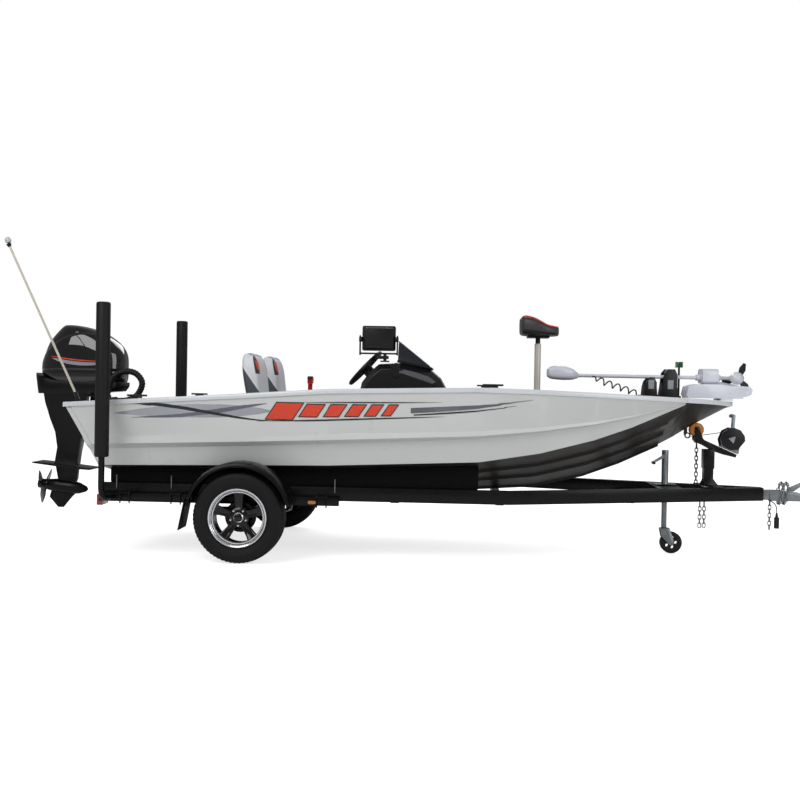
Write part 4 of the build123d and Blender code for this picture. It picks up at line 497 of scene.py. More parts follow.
def seat_finish(label, mid_y, accent):
    """Pale vinyl with dark shoulder patches, accent bars on them and dark lower panels."""
    material = MATERIALS["Pale vinyl"].copy()
    material.name = f"Seat vinyl {label}"
    tree = material.node_tree
    bsdf = tree.nodes["Principled BSDF"]
    coords = node(tree, "ShaderNodeTexCoord").outputs["Object"]
    top = bsdf.inputs["Base Color"].links[0].from_socket
    x = HINGE_X
    # Columns: colour, half-spaces, and for what lies on both sides its reach out from the middle
    for colour, planes, reach in (
        (srgb(96, 112, 128), [(0.30, 0, 1, 0.30 * x + 1.466)], None),
        (srgb(50, 52, 58), [(1, 0, 0.22, x + 0.284), (0, 0, 1, 1.345), (0.5, 0, -1, 0.5 * x - 1.50)],
         (0.150, None)),
        (accent, [(1, 0, 0.16, x + 0.194), (0, 0, 1, 1.374), (0, 0, -1, -1.442)], (0.135, 0.192)),
        (srgb(216, 218, 222), [(-1.41, 0, -1, -1.41 * x - 1.2562), (-1, 0, 0, -x - 0.026)], (0.140, None)),
        (srgb(74, 78, 86), [(-1.41, 0, -1, -1.41 * x - 1.2362), (-1, 0, 0, -x - 0.020)], (0.146, None)),
    ):
        for side in (1, -1) if reach else (0,):
            bounds = list(planes)
            if reach:
                bounds.append((0, side, 0, side * mid_y + reach[0]))
            if reach and reach[1]:
                bounds.append((0, -side, 0, -side * mid_y - reach[1]))
            over = node(tree, "ShaderNodeMix", data_type="RGBA")
            over.inputs["B"].default_value = (*colour, 1.0)
            tree.links.new(top, over.inputs["A"])
            tree.links.new(zone(tree, coords, bounds), over.inputs["Factor"])
            top = over.outputs["Result"]
    tree.links.new(top, bsdf.inputs["Base Color"])
    MATERIALS[material.name] = material


class BoatColours(bpy.types.PropertyGroup):
    """Colours that a user would change."""

    hull: FloatVectorProperty(name="Hull", description="Paint of the side plates", subtype="COLOR", size=3,
                              min=0.0, max=1.0, default=srgb(199, 201, 200))
    bottom: FloatVectorProperty(name="Bottom", description="Paint of the bottom", subtype="COLOR", size=3,
                                min=0.0, max=1.0, default=srgb(46, 43, 41))
    gunwale: FloatVectorProperty(name="Gunwale", description="Paint of the gunwales", subtype="COLOR",
                                 size=3, min=0.0, max=1.0, default=srgb(204, 208, 212))
    accent: FloatVectorProperty(name="Accent", description="Colour of the accent stripes", subtype="COLOR",
                                size=3, min=0.0, max=1.0, default=srgb(222, 66, 38))
    vinyl: FloatVectorProperty(name="Vinyl", description="Pale seat vinyl", subtype="COLOR", size=3,
                               min=0.0, max=1.0, default=srgb(212, 214, 220))
    carpet: FloatVectorProperty(name="Carpet", description="Deck and bunk carpet", subtype="COLOR", size=3,
                                min=0.0, max=1.0, default=srgb(52, 52, 56))


class BoatSizes(bpy.types.PropertyGroup):
    """Sizes of the trim that a user would change."""

    cord_turns: IntProperty(name="Cord turns", description="Turns of the bow motor's curly cord", default=6)
    cord_radius: FloatProperty(name="Cord radius", description="Radius of the curly cord's wire",
                               unit="LENGTH", default=0.0052)
    tread_blocks: IntProperty(name="Tread blocks", description="Tread blocks round a tyre", default=64)


class BOAT_OT_finishes(bpy.types.Operator):
    """Build the shared effects and every finish"""

    bl_idname = "boat.finishes"
    bl_label = "Finishes"

    def execute(self, context):
        colours = context.scene.boat_colours
        EFFECTS.update(grain=grain_group(), vinyl=leather_group(), pile=pile_group(), dust=dust_group())
        self.paints(colours)
        self.metals()
        self.rubbers_and_plastics()
        self.soft_goods(colours)
        self.stripes(colours)
        self.lenses()
        return {"FINISHED"}

    def paints(self, colours):
        """Paints of the hull, the trailer and the engine."""
        finish("Hull paint", colours.hull, 0.28, scale=500.0, cloud=0.7, shade=0.99, rough_spread=0.01,
               bump=0.02, coat_weight=0.25, coat_roughness=0.08)
        finish("Bottom paint", colours.bottom, 0.44, scale=900.0, cloud=1.6, shade=0.75, rough_spread=0.08,
               bump=0.02, metallic=0.25, specular_ior_level=0.4)
        finish("Gunwale paint", colours.gunwale, 0.3, scale=300.0, shade=0.95, bump=0.02, coat_weight=0.3)
        finish("Frame paint", srgb(11, 11, 12), 0.3, scale=260.0, cloud=5.0, shade=0.75, bump=0.06,
               dust=0.02, specular_ior_level=0.22)
        finish("Rim paint", srgb(10, 10, 11), 0.16, scale=260.0, shade=0.7, bump=0.02,
               specular_ior_level=0.45)
        finish("Engine paint", srgb(8, 8, 9), 0.32, scale=400.0, cloud=6.0, shade=0.75, bump=0.05,
               specular_ior_level=0.22)
        finish("Cowl gloss", srgb(6, 6, 8), 0.05, scale=400.0, cloud=3.0, shade=0.8, rough_spread=0.02,
               bump=0.0, coat_weight=0.6, coat_roughness=0.02)
        finish("Pole paint", srgb(196, 190, 176), 0.35, scale=500.0, shade=0.92, bump=0.0)

    def metals(self):
        """Plated, polished and anodised metals."""
        finish("Zinc", srgb(138, 145, 149), 0.38, scale=300.0, cloud=22.0, shade=0.75, rough_spread=0.08,
               bump=0.04, metallic=0.65)
        finish("Polished lip", srgb(226, 228, 232), 0.2, scale=600.0, cloud=8.0, shade=0.95,
               rough_spread=0.02, bump=0.0, metallic=0.85)
        finish("Satin alloy", srgb(206, 200, 192), 0.42, scale=300.0, cloud=8.0, shade=0.95, bump=0.0,
               metallic=0.35)
        finish("Propeller steel", srgb(40, 40, 44), 0.26, scale=300.0, cloud=12.0, shade=0.7, bump=0.03,
               metallic=0.6)
        finish("Chain black", srgb(34, 34, 34), 0.4, scale=300.0, cloud=30.0, shade=0.6, bump=0.1,
               metallic=0.7)
        finish("Red anodised", srgb(196, 16, 26), 0.2, scale=300.0, shade=0.7, bump=0.0, metallic=0.4)

    def rubbers_and_plastics(self):
        """Tyres, hoses, mouldings, pads and the smoked windshield."""
        finish("Tyre rubber", srgb(18, 18, 20), 0.6, scale=700.0, cloud=10.0, shade=0.75, bump=0.2,
               dust=0.03, specular_ior_level=0.22)
        finish("Black rubber", srgb(16, 16, 17), 0.5, scale=500.0, cloud=12.0, shade=0.7, bump=0.15,
               specular_ior_level=0.35)
        finish("Pad skin", srgb(15, 15, 17), 0.55, scale=260.0, cloud=6.0, shade=0.75, bump=0.3,
               specular_ior_level=0.3)
        finish("Console moulding", srgb(20, 20, 23), 0.2, scale=700.0, cloud=6.0, shade=0.75, bump=0.08,
               specular_ior_level=0.45)
        # The console's pale patch is a painted highlight, lighter than its black moulding.
        finish("Console painted highlight", srgb(92, 92, 97), 0.3, scale=700.0, cloud=6.0, shade=0.85, bump=0.05)
        finish("Black plastic", srgb(13, 13, 15), 0.4, scale=800.0, cloud=8.0, shade=0.75, bump=0.12,
               specular_ior_level=0.35)
        finish("White plastic", srgb(204, 206, 217), 0.3, scale=500.0, shade=0.95, bump=0.02,
               coat_weight=0.3)
        finish("Amber roller", srgb(196, 118, 34), 0.36, scale=300.0, shade=0.8, bump=0.1)
        finish("Dark screen", srgb(10, 12, 16), 0.06, scale=100.0, shade=0.8, bump=0.0, coat_weight=0.6)
        smoke = finish("Smoked acrylic", srgb(52, 54, 60), 0.05, scale=100.0, shade=0.9, rough_spread=0.02,
                       bump=0.0)
        shader = smoke.node_tree.nodes["Principled BSDF"]
        shader.inputs["Transmission Weight"].default_value = 0.35
        shader.inputs["IOR"].default_value = 1.3

    def soft_goods(self, colours):
        """Vinyls, carpets and webbing."""
        finish("Pale vinyl", colours.vinyl, 0.46, effect="vinyl", shade=0.93, bump=0.2)
        finish("Charcoal vinyl", srgb(52, 54, 62), 0.45, effect="vinyl", shade=0.85, bump=0.3)
        finish("Dark vinyl", srgb(58, 54, 54), 0.42, effect="vinyl", shade=0.85, bump=0.3)
        finish("Piping", srgb(214, 74, 44), 0.45, effect="vinyl", shade=0.85, bump=0.2)
        finish("Marine carpet", colours.carpet, 0.95, effect="pile", scale=520.0, cloud=26.0, shade=0.55,
               rough_spread=0.03, bump=0.9, specular_ior_level=0.1)
        # Bunk carpet: black carpet, darkened further as painted shade for the shadow under the hull
        finish("Bunk carpet with painted shade", srgb(16, 16, 17), 0.95, effect="pile", scale=520.0, cloud=26.0, shade=0.6,
               rough_spread=0.03, bump=0.9, specular_ior_level=0.1)
        finish("Webbing", srgb(28, 28, 30), 0.85, effect="pile", scale=600.0, shade=0.7, bump=0.5)
        seat_finish("starboard", -SEAT_Y, colours.accent)
        seat_finish("port", SEAT_Y, colours.accent)

    def stripes(self, colours):
        """Films of the hull's and the cowl's stripes."""
        film = {"scale": 700.0, "cloud": 4.0, "bump": 0.0}
        finish("Stripe grey", srgb(104, 106, 116), 0.26, shade=0.72, **film)
        finish("Stripe black", srgb(26, 27, 31), 0.24, shade=0.75, **film)
        finish("Stripe accent", colours.accent, 0.28, shade=0.92, **film)
        finish("Stripe silver", srgb(170, 172, 180), 0.2, shade=0.85, metallic=0.4, **film)

    def lenses(self):
        """Glossy lamp lenses."""
        lens = {"scale": 150.0, "bump": 0.0, "coat_weight": 0.8}
        finish("Red lens", srgb(150, 14, 14), 0.14, shade=0.7, **lens)
        finish("Amber lens", srgb(196, 120, 40), 0.14, shade=0.7, **lens)
        finish("Green lens", srgb(20, 84, 56), 0.14, shade=0.7, **lens)
        finish("Clear lens", srgb(190, 200, 206), 0.1, shade=0.8, **lens)


# CAD nodes that keep their form and get rounded edges. Columns: node, edge rounding, finish, slot
PLAIN = [
    ("hull_bottom", 0.0, "Bottom paint", "hull_dark"),
    ("side_plate_port", 0.003, "Hull paint", "hull_white"),
    ("side_plate_starboard", 0.003, "Hull paint", "hull_white"),
    ("transom", 0.006, "Hull paint", "hull_white"),
    ("gunwales", 0.005, "Gunwale paint", "gunwale_white"),
    ("cockpit_floor", 0.0, "Marine carpet", "carpet"),
    ("front_deck", 0.003, "Marine carpet", "carpet"),
    ("rear_deck", 0.003, "Marine carpet", "carpet"),
    ("lid_front_port", 0.003, "Marine carpet", "carpet"),
    ("lid_front_starboard", 0.003, "Marine carpet", "carpet"),
    ("lid_rear_port", 0.003, "Marine carpet", "carpet"),
    ("lid_rear_starboard", 0.003, "Marine carpet", "carpet"),
    ("cleats", 0.004, "Black plastic", "zinc"),
    ("nav_lights", 0.0, "Pole paint", "white_plastic"),
    ("console", 0.007, "Console moulding", "console_black"),
    ("windshield", 0.001, "Smoked acrylic", "smoked_glass"),
    ("display", 0.004, "Black plastic", "console_black"),
    ("steering_wheel", 0.003, "Black rubber", "console_black"),
    ("throttle_box", 0.006, "Black plastic", "console_black"),
    ("seat_boxes", 0.006, "Console moulding", "console_black"),
    ("pedestal", 0.0, "Satin alloy", "post_metal"),
    ("tm_mount", 0.008, "White plastic", "white_plastic"),
    ("tm_rests", 0.005, "Black plastic", "console_black"),
    ("tm_housing", 0.008, "White plastic", "white_plastic"),
    ("tm_motor", 0.0, "White plastic", "white_plastic"),
    ("tm_prop", 0.001, "Black plastic", "console_black"),
    ("clamp_bracket", 0.005, "Engine paint", "engine_black"),
    ("swivel_bracket", 0.005, "Engine paint", "engine_black"),
    ("outboard_leg", 0.01, "Engine paint", "engine_black"),
    ("propeller", 0.001, "Propeller steel", "steel"),
    ("trailer_frame", 0.004, "Frame paint", "frame_black"),
    ("axle", 0.003, "Frame paint", "frame_black"),
    ("fenders", 0.0015, "Frame paint", "frame_black"),
    # The bunks' carpet is darkened as painted shade.
    ("bunks", 0.008, "Bunk carpet with painted shade", "carpet"),
    ("guide_posts", 0.0, "Frame paint", "zinc"),
    ("guide_pads", 0.012, "Pad skin", "pad_black"),
    ("winch_post", 0.003, "Frame paint", "frame_black"),
    ("bow_roller", 0.004, "Amber roller", "roller"),
    ("winch", 0.003, "Zinc", "zinc"),
    ("winch_crank", 0.002, "Zinc", "zinc"),
    ("jack_tube", 0.002, "Zinc", "zinc"),
    ("jack_leg", 0.001, "Zinc", "zinc"),
    ("jockey_fork", 0.002, "Zinc", "zinc"),
    ("jockey_wheel", 0.006, "Black rubber", "rubber_black"),
    ("coupler", 0.006, "Zinc", "zinc"),
    ("plug", 0.003, "Black rubber", "rubber_black"),
    ("lamps", 0.003, "Red lens", "lamp_red"),
]
DRESSED = {}


class BOAT_OT_cad_skins(bpy.types.Operator):
    """Round the edges of the CAD pieces that keep their form"""

    bl_idname = "boat.cad_skins"
    bl_label = "CAD pieces"

    # Parts of those pieces with another finish. Columns: node, finish, test of a face's centre and normal
    PAINTED = [
        ("throttle_box", "Red anodised", lambda at, n: at.z > 1.188),
        ("nav_lights", "Clear lens", lambda at, n: at.z > 2.283),
        ("nav_lights", "Black plastic", lambda at, n: at.x < 0 and (at.z < 1.2 or 2.21 < at.z < 2.283)),
        ("nav_lights", "Black plastic", lambda at, n: at.x > 1.9 and at.z < 1.46),
        ("nav_lights", "Green lens", lambda at, n: at.x > 1.9 and 1.462 < at.z < 1.49 and at.y < -0.01),
        ("nav_lights", "Red lens", lambda at, n: at.x > 1.9 and 1.462 < at.z < 1.49 and at.y > 0.01),
        ("winch", "Black plastic", lambda at, n: at.y > 0.024 or at.y < -0.049),
        ("winch", "Webbing", lambda at, n: abs(at.y) < 0.0125 and at.x < 2.42 and at.z > 0.9),
        ("winch_crank", "Black plastic", lambda at, n: at.y > 0.088),
        ("jack_tube", "Black plastic", lambda at, n: at.y < -0.052),
        ("display", "Dark screen",
         lambda at, n: n.y > 0.9 and at.y > -0.6 and abs(at.z - 1.62) < 0.09 and abs(at.x + 0.262) < 0.12),
        ("lamps", "Amber lens", lambda at, n: at.x > -1.5),
        ("pedestal", "Black plastic", lambda at, n: at.z > 1.625),
        ("gunwales", "Black plastic", lambda at, n: at.x > 2.425 and n.x > 0.7),
    ]

    def execute(self, context):
        for name, bevel, material, slot in PLAIN:
            DRESSED[name] = dressed(name, bevel, MATERIALS[material], slot)
        smooth(DRESSED["console"], 13.0)
        for name, material, wanted in self.PAINTED:
            paint(DRESSED[name], MATERIALS[material], wanted)
        return {"FINISHED"}


class BOAT_OT_cowl(bpy.types.Operator):
    """Model the outboard's top cowl with its creases and side bands"""

    bl_idname = "boat.cowl"
    bl_label = "Top cowl"

    # Columns: height, front, back, half-width, squareness
    ROWS = [
        (1.2625, -2.346, -2.992, 0.190, 2.9), (1.300, -2.337, -3.006, 0.198, 2.9),
        (1.380, -2.334, -3.004, 0.200, 2.8), (1.460, -2.336, -2.984, 0.199, 2.7),
        (1.520, -2.356, -2.966, 0.194, 2.7), (1.575, -2.398, -2.944, 0.185, 2.6),
        (1.628, -2.466, -2.908, 0.170, 2.6), (1.672, -2.556, -2.872, 0.148, 2.5),
        (1.700, -2.650, -2.846, 0.118, 2.4), (1.714, -2.735, -2.828, 0.066, 2.2),
        (1.7165, -2.786, -2.790, 0.002, 2.0),
    ]
    # Side bands. Columns: finish, then (x, low z, high z) rows from back to front
    BANDS = [
        ("Stripe silver", [(-2.90, 1.452, 1.454), (-2.80, 1.414, 1.438), (-2.66, 1.392, 1.420),
                           (-2.52, 1.396, 1.416), (-2.40, 1.420, 1.422)]),
        ("Stripe accent", [(-2.92, 1.470, 1.472), (-2.80, 1.446, 1.454), (-2.66, 1.428, 1.437),
                           (-2.52, 1.424, 1.430), (-2.38, 1.432, 1.433)]),
    ]

    # The foot rises behind x = RISE_X. The upper shell is narrower above an arched crease.
    RISE_X, RISE = -2.85, 0.31
    CREASE_TOP, CREASE_X, CREASE_ARCH = 1.640, -2.62, 1.35
    CREASE_STEP, UPPER_INSET = 0.014, 0.075
    GROOVE_LOW, GROOVE_HIGH = 1.345, 1.356

    def execute(self, context):
        foot, crown = self.ROWS[0][0], self.ROWS[-1][0]

        def place(u, v):
            height, front, back, half, power = row_at(self.ROWS, v)
            x, y = oval(u, (front - back) / 2, half, power)
            x += (front + back) / 2
            share = (height - foot) / (crown - foot)
            z = height + max(0.0, self.RISE_X - x) * self.RISE * (1 - share)
            crease = self.CREASE_TOP - self.CREASE_ARCH * (x - self.CREASE_X) ** 2
            step = min(max((z - crease) / self.CREASE_STEP, 0.0), 1.0)
            y *= 1.0 - self.UPPER_INSET * step * step * (3 - 2 * step)
            if self.GROOVE_LOW < z < self.GROOVE_HIGH:
                y *= 0.985
                x = (front + back) / 2 + (x - (front + back) / 2) * 0.991
            return Vector((x, y, z))

        cowl = skin("top_cowl_skin", 132, 84, place)
        capped(cowl)
        smooth(cowl, 34.0)
        put(cowl, "outboard", "cowl_gloss", MATERIALS["Cowl gloss"])
        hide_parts("top_cowl")
        for number, (material, rows) in enumerate(self.BANDS):
            def beside(u, v):
                x, low, high = row_at(rows, u)
                return Vector((x, -0.215, low + (high - low) * v))

            lift = 0.0008 + 0.0004 * number
            band = decal(f"top_cowl_band_{number + 1}_starboard", 48, 3, beside, cowl, lift)
            put(band, "outboard", "cowl_gloss", MATERIALS[material])
            twin = mirrored(band, f"top_cowl_band_{number + 1}_port")
            put(twin, "outboard", "cowl_gloss")
        return {"FINISHED"}


class BOAT_OT_wheels(bpy.types.Operator):
    """Model the tyres with tread and the five-spoke rims"""

    bl_idname = "boat.wheels"
    bl_label = "Wheels"

    # Tyre from the bead to the middle of the tread. Columns: radius, out from the middle
    OUTLINE = [
        (0.1965, 0.074), (0.2040, 0.084), (0.2140, 0.0915), (0.2200, 0.0905), (0.2240, 0.0945),
        (0.2500, 0.1010), (0.2540, 0.1000), (0.2580, 0.1020), (0.2800, 0.1010), (0.3000, 0.0965),
        (0.3130, 0.0890), (0.3190, 0.0800), (0.3215, 0.0700), (0.3222, 0.0560), (0.3150, 0.0550),
        (0.3150, 0.0480), (0.3230, 0.0470), (0.3234, 0.0260), (0.3155, 0.0250), (0.3155, 0.0180),
        (0.3235, 0.0170), (0.3235, 0.0000),
    ]
    # Cross cuts of the tread. Columns: from and to out from the middle, which quarter of a block is cut
    CUTS = [(0.050, 0.082, 0), (0.024, 0.048, 2)]
    CUT_DEPTH = 0.0045
    # Rim pieces turned about the axle. Columns: name, finish, outline of (radius, out from the middle)
    TURNED = [
        ("barrel", "Rim paint", [(0.188, 0.072), (0.180, 0.040), (0.176, 0.0), (0.178, -0.040),
                                 (0.184, -0.080), (0.196, -0.094), (0.207, -0.096), (0.2075, -0.090),
                                 (0.197, -0.084), (0.183, -0.030), (0.183, 0.030), (0.197, 0.084),
                                 (0.188, 0.072)]),
        ("lip", "Polished lip", [(0.1890, 0.0760), (0.1900, 0.0870), (0.1940, 0.0900), (0.1965, 0.0955),
                                 (0.2020, 0.0990), (0.2070, 0.0990), (0.2088, 0.0955), (0.2070, 0.0900),
                                 (0.1975, 0.0845), (0.1890, 0.0760)]),
        ("inner_lip", "Polished lip", [(0.1740, 0.060), (0.1748, 0.072), (0.1790, 0.0780), (0.1850, 0.0780),
                                       (0.1868, 0.0740), (0.1855, 0.0640), (0.1740, 0.060)]),
        ("hub", "Rim paint", [(0.0205, 0.0), (0.082, 0.002), (0.086, 0.012), (0.080, 0.030), (0.066, 0.042),
                              (0.040, 0.046), (0.0205, 0.046), (0.0205, 0.0)]),
        ("cap", "Rim paint", [(0.0, 0.076), (0.018, 0.0755), (0.026, 0.072), (0.0275, 0.066),
                              (0.028, 0.040), (0.0, 0.040)]),
        ("cap_ring", "Polished lip", [(0.0280, 0.047), (0.0280, 0.058), (0.0300, 0.060), (0.0345, 0.056),
                                      (0.0350, 0.047), (0.0280, 0.047)]),
        ("drum", "Engine paint", [(0.0205, -0.052), (0.108, -0.052), (0.112, -0.046), (0.112, -0.022),
                                  (0.106, -0.016), (0.0205, -0.014), (0.0205, -0.052)]),
    ]
    # Spoke from the hub outwards. Columns: radius, half-width, back, front
    SPOKE = [(0.046, 0.024, 0.010, 0.044), (0.070, 0.026, 0.012, 0.043), (0.100, 0.028, 0.014, 0.045),
             (0.130, 0.031, 0.018, 0.051), (0.155, 0.035, 0.026, 0.060), (0.172, 0.040, 0.036, 0.067),
             (0.184, 0.046, 0.044, 0.071)]
    SPOKES = 5
    # Lug nut. Columns: radius, out from the middle
    LUG = [(0.0, 0.064), (0.006, 0.063), (0.009, 0.058), (0.0095, 0.042), (0.0, 0.042)]
    LUG_CIRCLE = 0.057

    def execute(self, context):
        centre = Vector((AXLE.x, WHEEL_Y, AXLE.z))
        tyre = self.tyre(centre, context.scene.boat_sizes.tread_blocks)
        pieces = [("tyre_skin", "tyre", "Tyre rubber", tyre)]
        for name, material, outline in self.TURNED:
            piece = turned(f"rim_{name}", outline, centre, (0, 1, 0), 80)
            smooth(piece, 32.0)
            pieces.append((f"rim_{name}", "rim_black", material, piece))
        spoke, lug = self.spoke(centre), self.lug(centre)
        for number in range(self.SPOKES):
            turn = self.about(centre, math.tau * number / self.SPOKES, "Y")
            for part, material, model in (("spoke", "Rim paint", spoke), ("lug", "Polished lip", lug)):
                copy = repeat(model, f"rim_{part}", turn)
                pieces.append((f"rim_{part}_{number + 1}", "rim_black", material, copy))
        bpy.data.objects.remove(spoke)
        bpy.data.objects.remove(lug)
        across = self.about(Vector((AXLE.x, 0, 0)), math.pi, "Z")
        for name, slot, material, piece in pieces:
            twin = repeat(piece, f"{name}_starboard", across)
            piece.name = f"{name}_port"
            put(piece, "wheel_port", slot, MATERIALS[material])
            put(twin, "wheel_starboard", slot, MATERIALS[material])
            if name in ("tyre_skin", "rim_barrel"):
                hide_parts(f"{name.split('_')[0]}_port")
                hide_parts(f"{name.split('_')[0]}_starboard")
        return {"FINISHED"}

    def about(self, centre, turn, axis):
        """Matrix that turns about an axis through a point."""
        move = Matrix.Translation(centre)
        return move @ Matrix.Rotation(turn, 4, axis) @ move.inverted()

    def tyre(self, centre, blocks):
        """Tyre with ribs and shoulder blocks, closed along its beads."""
        outline = self.OUTLINE + [(r, -y) for r, y in reversed(self.OUTLINE[:-1])]
        steps = blocks * 4

        def place(u, v):
            radius, out = outline[round(v * (len(outline) - 1))]
            quarter = round(u * steps) % 4
            cuts = [cut for near, far, cut in self.CUTS if near < abs(out) < far and radius > 0.3]
            if quarter in cuts:
                radius -= self.CUT_DEPTH
            turn = math.tau * u
            return centre + Vector((radius * math.cos(turn), out, radius * math.sin(turn)))

        tyre = skin("tyre_skin", steps, len(outline) - 1, place)
        lone(tyre)
        bpy.ops.object.mode_set(mode="EDIT")
        bpy.ops.mesh.select_all(action="SELECT")
        bpy.ops.mesh.region_to_loop()
        bpy.ops.mesh.bridge_edge_loops()
        bpy.ops.object.mode_set(mode="OBJECT")
        merge(tyre)
        smooth(tyre, 28.0)
        return tyre

    def spoke(self, centre):
        """Upright spoke with a hollow front; its first and last rows close its ends."""
        rows = 26

        def place(u, v):
            step = round(v * rows)
            radius, half, back, front = row_at(self.SPOKE, min(max((step - 1) / (rows - 2), 0.0), 1.0))
            middle = (back + front) / 2
            if step in (0, rows):
                return centre + Vector((0, middle, radius))
            w, d = oval(u, half, (front - back) / 2, 5.0)
            if d > 0:
                d -= 0.006 * math.exp(-(w / (half * 0.45)) ** 2)
            return centre + Vector((w, middle + d, radius))

        spoke = skin("rim_spoke", 40, rows, place)
        smooth(spoke, 50.0)
        return spoke

    def lug(self, centre):
        """Lug nut between two spokes."""
        turn = math.pi / self.SPOKES
        at = centre + Vector((math.sin(turn), 0, math.cos(turn))) * self.LUG_CIRCLE
        lug = turned("rim_lug", self.LUG, at, (0, 1, 0), 12)
        smooth(lug, 40.0)
        return lug


class BOAT_OT_seats(bpy.types.Operator):
    """Model the helm seats' backs and cushions and the bow seat"""

    bl_idname = "boat.seats"
    bl_label = "Seats"

    # Columns: height, middle ahead of the hinge, half-depth, half-width
    BACK = [
        (1.012, -0.012, 0.004, 0.120), (1.020, -0.012, 0.032, 0.168), (1.060, -0.014, 0.046, 0.196),
        (1.150, -0.024, 0.059, 0.209), (1.260, -0.041, 0.064, 0.214), (1.360, -0.055, 0.066, 0.214),
        (1.430, -0.065, 0.060, 0.202), (1.475, -0.073, 0.048, 0.176), (1.493, -0.077, 0.032, 0.136),
        (1.500, -0.079, 0.004, 0.080),
    ]
    # Bow seat. Columns: along, half-width, bottom, top
    SADDLE = [
        (0.805, 0.02, 1.745, 1.790), (0.808, 0.11, 1.705, 1.822), (0.820, 0.150, 1.690, 1.834),
        (0.850, 0.168, 1.684, 1.840), (0.905, 0.180, 1.682, 1.828), (0.960, 0.184, 1.682, 1.800),
        (1.010, 0.176, 1.682, 1.772), (1.060, 0.150, 1.683, 1.760), (1.095, 0.115, 1.686, 1.758),
        (1.106, 0.070, 1.692, 1.752), (1.108, 0.010, 1.715, 1.730),
    ]
    # Piping along the saddle's port edge
    WELT = [
        (0.812, 0.075, 1.810), (0.822, 0.130, 1.826), (0.850, 0.151, 1.831), (0.905, 0.163, 1.817),
        (0.960, 0.166, 1.790), (1.010, 0.158, 1.764), (1.060, 0.134, 1.754), (1.094, 0.100, 1.751),
    ]
    # Seat cushion. Columns: height, share of the length, share of the half-width
    CUSHION = [
        (0.9258, 0.88, 0.86), (0.930, 0.94, 0.94), (0.950, 0.995, 0.99), (0.975, 1.0, 1.0),
        (1.000, 0.985, 0.98), (1.014, 0.93, 0.92), (1.021, 0.80, 0.78), (1.0225, 0.5, 0.5),
        (1.020, 0.01, 0.01),
    ]
    CUSHION_HALF_WIDTH = 0.213
    # Hollow of the back between its bolsters, and the sewn lines beside it
    HOLLOW_DEPTH, HOLLOW_HALF_WIDTH = 0.024, 0.15
    SEAM_Y, SEAM_HALF_WIDTH, SEAM_DEPTH = 0.118, 0.012, 0.006

    def execute(self, context):
        across = Matrix.Translation((0, -2 * SEAT_Y, 0))
        back, cushion = self.back(), self.cushion()
        backs = {"port": back, "starboard": repeat(back, "seat_back_starboard_pad", across)}
        cushions = {"port": cushion, "starboard": repeat(cushion, "seat_cushion_starboard_pad", across)}
        for label in ("port", "starboard"):
            put(backs[label], f"seat_back_{label}", "vinyl_white", MATERIALS[f"Seat vinyl {label}"])
            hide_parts(f"seat_back_{label}")
            put(cushions[label], ROOT, "vinyl_white", MATERIALS["Pale vinyl"])
            paint(cushions[label], MATERIALS["Charcoal vinyl"], lambda at, _: at.z < 0.972)
            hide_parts("seat_cushions")
        self.saddle()
        return {"FINISHED"}

    def back(self):
        """Seat back of the port seat, upright on its hinge."""
        def place(u, v):
            height, mid, depth, half = row_at(self.BACK, v)
            x, y = oval(u, depth, half, 5.2)
            if x > 0:
                inward = min(abs(y) / self.HOLLOW_HALF_WIDTH, 1.0) * math.pi / 2
                x -= self.HOLLOW_DEPTH * math.cos(inward) ** 2 * math.sin(math.pi * v) ** 0.5
                seam = min(abs(abs(y) - self.SEAM_Y), self.SEAM_HALF_WIDTH) / self.SEAM_HALF_WIDTH
                x -= self.SEAM_DEPTH * (1 - seam) * math.sin(math.pi * v)
            return Vector((HINGE_X + mid + x, SEAT_Y + y, height))

        back = skin("seat_back_port_pad", 72, 36, place)
        capped(back)
        smooth(back, 60.0)
        return back

    def cushion(self):
        """Cushion of the port seat, with a sewn line along each side."""
        low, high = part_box("seat_cushions")
        mid_x, half_x = (low[0] + high[0]) / 2, (high[0] - low[0]) / 2 - 0.002

        def place(u, v):
            height, long, wide = row_at(self.CUSHION, v)
            x, y = oval(u, half_x * long, self.CUSHION_HALF_WIDTH * wide, 4.2)
            if height > 1.0:
                height -= 0.005 * math.exp(-((abs(y) - 0.13) / 0.01) ** 2)
            return Vector((mid_x + x, SEAT_Y + y, height))

        pad = skin("seat_cushion_port_pad", 72, 32, place)
        capped(pad)
        smooth(pad, 60.0)
        return pad

    def saddle(self):
        """Bow seat with its piping and base plate."""
        def place(u, v):
            along, half, bottom, top = row_at(self.SADDLE, v)
            y, z = oval(u, half, (top - bottom) / 2, 3.4)
            if z > 0:
                z -= 0.010 * math.exp(-(y / 0.06) ** 2)
            return Vector((along, y, (top + bottom) / 2 + z))

        saddle = skin("bow_seat_pad", 56, 40, place)
        merge(saddle, 0.0006)
        smooth(saddle, 60.0)
        put(saddle, "bow_seat", "vinyl_dark", MATERIALS["Dark vinyl"])
        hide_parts("bow_seat")
        welt = tube("bow_seat_welt_port", run_of(self.WELT, 40), 0.006, 8)
        smooth(welt, 60.0)
        twin = mirrored(welt, "bow_seat_welt_starboard")
        plate = block("bow_seat_base", (0.949, 0.0, 1.6755), (0.170, 0.150, 0.014))
        put(welt, "bow_seat", "vinyl_dark", MATERIALS["Piping"])
        put(twin, "bow_seat", "vinyl_dark", MATERIALS["Piping"])
        put(plate, "bow_seat", "console_black", MATERIALS["Black plastic"])


